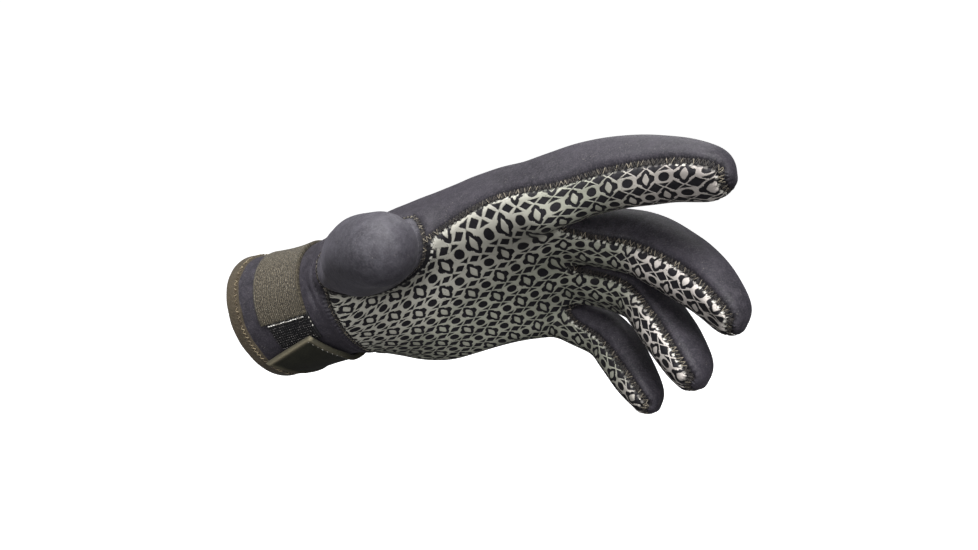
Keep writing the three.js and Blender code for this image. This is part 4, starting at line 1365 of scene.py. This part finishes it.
def make_hem(finish):
    """The binding: a rounded closed profile carried round the edge of the cuff. Its profile is a
    superellipse in the distance from the hem and the height, so it wraps both sides of the cut."""
    turn = np.linspace(0, 2 * math.pi, 41)[:-1]
    h = round_box(np.cos(turn), HEM_TAPE["low"], HEM_TAPE["high"], 0.45)
    lift = round_box(np.sin(turn), HEM_TAPE["inside"], HEM_TAPE["outside"], 0.55)
    h, angle = np.meshgrid(h, np.linspace(0, 360, 361)[:-1])
    arc = np.radians(angle) * HEM_TAPE["radius"]
    pucker = 0.13 * np.sin(arc * 2 * math.pi / 2.9) * bell(h, 5.2, 1.6)
    slow = 0.25 * np.sin(np.radians(angle) * 7 + 1) + 0.14 * np.sin(np.radians(angle) * 17)
    points = cuff_point(h + slow * 0.8, angle, lift + pucker * np.sign(lift) + slow * 0.3)
    points = points.reshape(-1, 3)
    quads = outwards(points, grid_faces(*h.shape, True, True))
    around = arc_lengths(cuff_point(h[0], angle[0], lift))
    places = np.stack([arc, np.broadcast_to(around, h.shape)], -1).reshape(-1, 2)
    return make_mesh("hem_tape", points, [quads], finish, places)


# Threads: the slot of each piece, then its finish: name, dull and bright colour, share of dull.
THREADS = {
    "seam_thread_light": ("binding", "thread_light", (52, 46, 41), (158, 148, 130), 0.72),
    "seam_thread_dark": ("neoprene", "thread_dark", (22, 20, 24), (74, 68, 64), 0.6),
    "hem_thread": ("binding", "thread_tan", (88, 74, 56), (172, 156, 126), 0.5),
    "strap_thread": ("webbing", "thread_white", (150, 146, 138), (232, 230, 224), 0.4),
}
SEAM_THREAD = {"pitch": 1.7, "half": 1.15, "radius": 0.125, "lift": 0.1}
# The seams' two threads: how far across and how thick against that, where in the pitch they
# start, how much lower they lie, and their first seed.
SEAM_TURNS = (("seam_thread_light", 1.0, 1.0, 0.0, 0.0, 20),
              ("seam_thread_dark", 0.92, 1.05, 0.27, 0.04, 40))
NARROW = 0.85  # stitches of the seams beside the print, against those on it


def make_threads(name, parts):
    """Several threads as one piece, in the colours that THREADS gives it."""
    slot, finish, *look = THREADS[name]
    points, faces, tones = join(parts)
    make_mesh(name, points, faces, make_thread(finish, *look), None, tones, 180)


def seam_track(nets, skin, name):
    """A seam's line on the sewn face, smoothed a little, with its normals."""
    row = nets[-1].lines[name]
    points, normals = skin.bare[row], skin.normals[row]
    for _ in range(6):
        for q in (points, normals):
            q[1:-1] += 0.5 * ((q[:-2] + q[2:]) / 2 - q[1:-1])
    return Track(points, unit(normals))


def make_seam_threads(nets, skin):
    """Overlapping zigzags of light and dark thread along every seam."""
    tracks = [(seam_track(nets, skin, name), 1.0 if name == "print" else NARROW)
              for name in nets[-1].lines]
    for name, reach, thick, phase, lower, seed in SEAM_TURNS:
        make_threads(name, [
            zigzag(track, SEAM_THREAD["pitch"], SEAM_THREAD["half"] * size * reach,
                   SEAM_THREAD["radius"] * thick, phase, SEAM_THREAD["lift"] - lower, seed + number)
            for number, (track, size) in enumerate(tracks)])


def make_tape_threads():
    """Zigzag stitches at the binding's inner edge, and running stitches on the strap's ends."""
    edge = cuff_track(HEM_TAPE["high"] - 1.3, np.linspace(0, 360, 721), HEM_TAPE["outside"] + 0.12)
    make_threads("hem_thread", [zigzag(edge, pitch=2.3, half=0.9, radius=0.16, phase=0.0,
                                       lift=0.14, seed=61)])
    bar = cuff_track(np.linspace(STRAP["low"] + 3.6, STRAP["high"] - 1.4, 60),
                     STRAP["start"] + 1.6, 1.75)
    edge = cuff_track(HOOKS["high"] + 0.3,
                      np.linspace(STRAP["start"] + 2.5, HOOKS["start"] - 9.0, 60), 1.5)
    h, angle, lift = tab_grid(np.linspace(0.15, 2.0, 60), np.linspace(0.93, 0.97, 60))
    side = cuff_track(h, angle, lift + TAB_THICK / 2 + 0.5)
    make_threads("strap_thread", [
        dashes(bar, pitch=1.5, share=0.85, radius=0.3, lift=0.3, seed=62),
        dashes(edge, pitch=2.1, share=0.4, radius=0.28, lift=0.45, seed=63),
        dashes(side, pitch=2.6, share=0.4, radius=0.15, lift=0.2, seed=64)])


def make_glove():
    """The glove's pieces, each with the node of the part that it stands for."""
    nets = [make_cage()]
    for _ in range(LEVELS):
        nets.append(refine(nets[-1]))
    skin = Skin(nets)
    neoprene, grip = make_neoprene("neoprene_charcoal", 0.0), make_print()
    # Painted light: a paler copy of the neoprene for the thumb, which catches more light.
    paler_neoprene = make_neoprene("neoprene_paler_lit", 0.34)
    webbing, olive = make_webbing(), make_olive_knit()
    back = panel("back", nets, skin, 3, BACK, neoprene)
    palm = panel("palm_printed", nets, skin, 4, PALM, grip)
    thumb = panel("thumb", nets, skin, 4, THUMB_TAG, paler_neoprene)
    cuff = panel("cuff", nets, skin, 4, CUFF_ROW, neoprene)
    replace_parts(back, "back_panel")
    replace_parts(palm, "palm_panel")
    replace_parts(thumb, "thumb_panel")
    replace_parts(cuff, "cuff_sleeve")
    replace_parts(make_hem(make_binding()), "hem_binding")
    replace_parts(make_strap(webbing), "wrist_strap")
    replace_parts(make_tab(olive), "strap_tab")
    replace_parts(make_hook_patch(make_hooks()), "hook_patch")
    make_seam_threads(nets, skin)
    make_tape_threads()


# The photograph's view, in metres, degrees and pixels.
CAMERA = {"place": (0.11613, -0.35551, 0.11801), "tilt": 75, "focal": 691.4058, "across": 978,
          "sensor": 36.0, "near": 0.01}


def make_camera():
    """The photograph's view: a pinhole camera at its focal length in pixels."""
    lens = bpy.data.cameras.new("photo_camera")
    lens.sensor_width = CAMERA["sensor"]
    lens.sensor_fit = "HORIZONTAL"
    lens.lens = CAMERA["sensor"] * CAMERA["focal"] / CAMERA["across"]
    lens.clip_start = CAMERA["near"]
    camera = bpy.data.objects.new("photo_camera", lens)
    camera.location = CAMERA["place"]
    camera.rotation_euler = (math.radians(CAMERA["tilt"]), 0, 0)
    bpy.context.scene.collection.objects.link(camera)
    bpy.context.scene.camera = camera


# The floor, in metres: its height, the radii of its flat rings, where its bend starts and the
# bend's own radius, and how high its wall stands over it.
FLOOR = -0.30
FLOOR_RINGS = (0.02, 0.4, 1.0, 1.8, 2.6)
FLOOR_BEND = (3.0, 1.2)
WALL_TOP = 4.0
STUDIO = {"glow": 0.95, "sky": 0.05}  # light of the floor itself and of the sky
LIGHTS = (  # name, place, target, size across and power in watts
    ("key", (0.16, -0.62, 0.95), (0.09, -0.02, 0.03), 0.55, 13.3),
    ("top", (-0.20, 0.02, 1.02), (0.09, -0.02, 0.03), 0.6, 7.5),
    ("front", (0.45, -0.88, 0.22), (0.09, -0.02, 0.03), 0.6, 3.2),
    ("left", (-0.50, -0.80, 0.30), (0.05, 0, 0.02), 0.6, 3.0),
    ("rear", (0.35, 0.75, 0.8), (0.1, 0, 0.04), 0.6, 3.0),
)


def make_light(name, place, target, size, power):
    """A white round area light, turned to its target."""
    lamp = bpy.data.lights.new(name, "AREA")
    lamp.shape = "DISK"
    lamp.size = size
    lamp.energy = power
    light = bpy.data.objects.new(name, lamp)
    light.location = place
    way = Vector(target) - Vector(place)
    light.rotation_euler = way.to_track_quat("-Z", "Y").to_euler()
    bpy.context.scene.collection.objects.link(light)


def make_stage():
    """A plain pale floor with a low rim far out: a profile of radius and height, flat, then a
    quarter circle, then a wall, turned once round. It sends no light back onto the glove."""
    start, bend = FLOOR_BEND
    rise = np.linspace(0, math.pi / 2, 13)
    r = np.concatenate([FLOOR_RINGS, start + bend * np.sin(rise), [start + bend]])
    z = np.concatenate([np.zeros(len(FLOOR_RINGS)), bend * (1 - np.cos(rise)), [WALL_TOP]]) + FLOOR
    turn = np.linspace(0, 2 * math.pi, 97)
    grid = np.stack([r[None] * np.cos(turn)[:, None], r[None] * np.sin(turn)[:, None],
                     np.broadcast_to(z, (len(turn), len(z)))], -1)
    mesh = bpy.data.meshes.new("studio_floor")
    quads = grid_faces(*grid.shape[:2])
    middle = np.array([[0.0, 0.0, FLOOR]])
    count = grid.shape[0] * grid.shape[1]
    ring = np.arange(grid.shape[0]) * grid.shape[1]
    fan = np.stack([np.full(len(ring) - 1, count), ring[:-1], ring[1:]], -1)
    points = np.vstack([grid.reshape(-1, 3), middle])
    mesh.from_pydata(points.tolist(), [], quads[:, ::-1].tolist() + fan.tolist())
    mesh.update()
    mesh.polygons.foreach_set("use_smooth", np.ones(len(mesh.polygons), bool))
    finish = Finish("studio_paper", Roughness=0.95, Emission_Strength=STUDIO["glow"])
    finish.feed(Base_Color=finish.mix(finish.noise(0.4), (236, 236, 237), (240, 240, 241)))
    finish.shader.inputs["Emission Color"].default_value = (1, 1, 1, 1)
    mesh.materials.append(finish.material)
    floor = bpy.data.objects.new("studio_floor", mesh)
    floor.visible_diffuse = False
    floor.visible_glossy = False
    bpy.context.scene.collection.objects.link(floor)


def light_studio():
    """Soft light from above and in front, a weaker one from the left and one behind."""
    scene = bpy.context.scene
    scene.view_settings.view_transform = "Standard"
    world = bpy.data.worlds.new("studio")
    world.use_nodes = True
    sky = world.node_tree.nodes["Background"]
    sky.inputs[0].default_value = (1.0, 1.0, 1.0, 1)
    sky.inputs[1].default_value = STUDIO["sky"]
    scene.world = world
    for light in LIGHTS:
        make_light(*light)


make_camera()
make_glove()
make_stage()
light_studio()

bpy.context.view_layer.update()
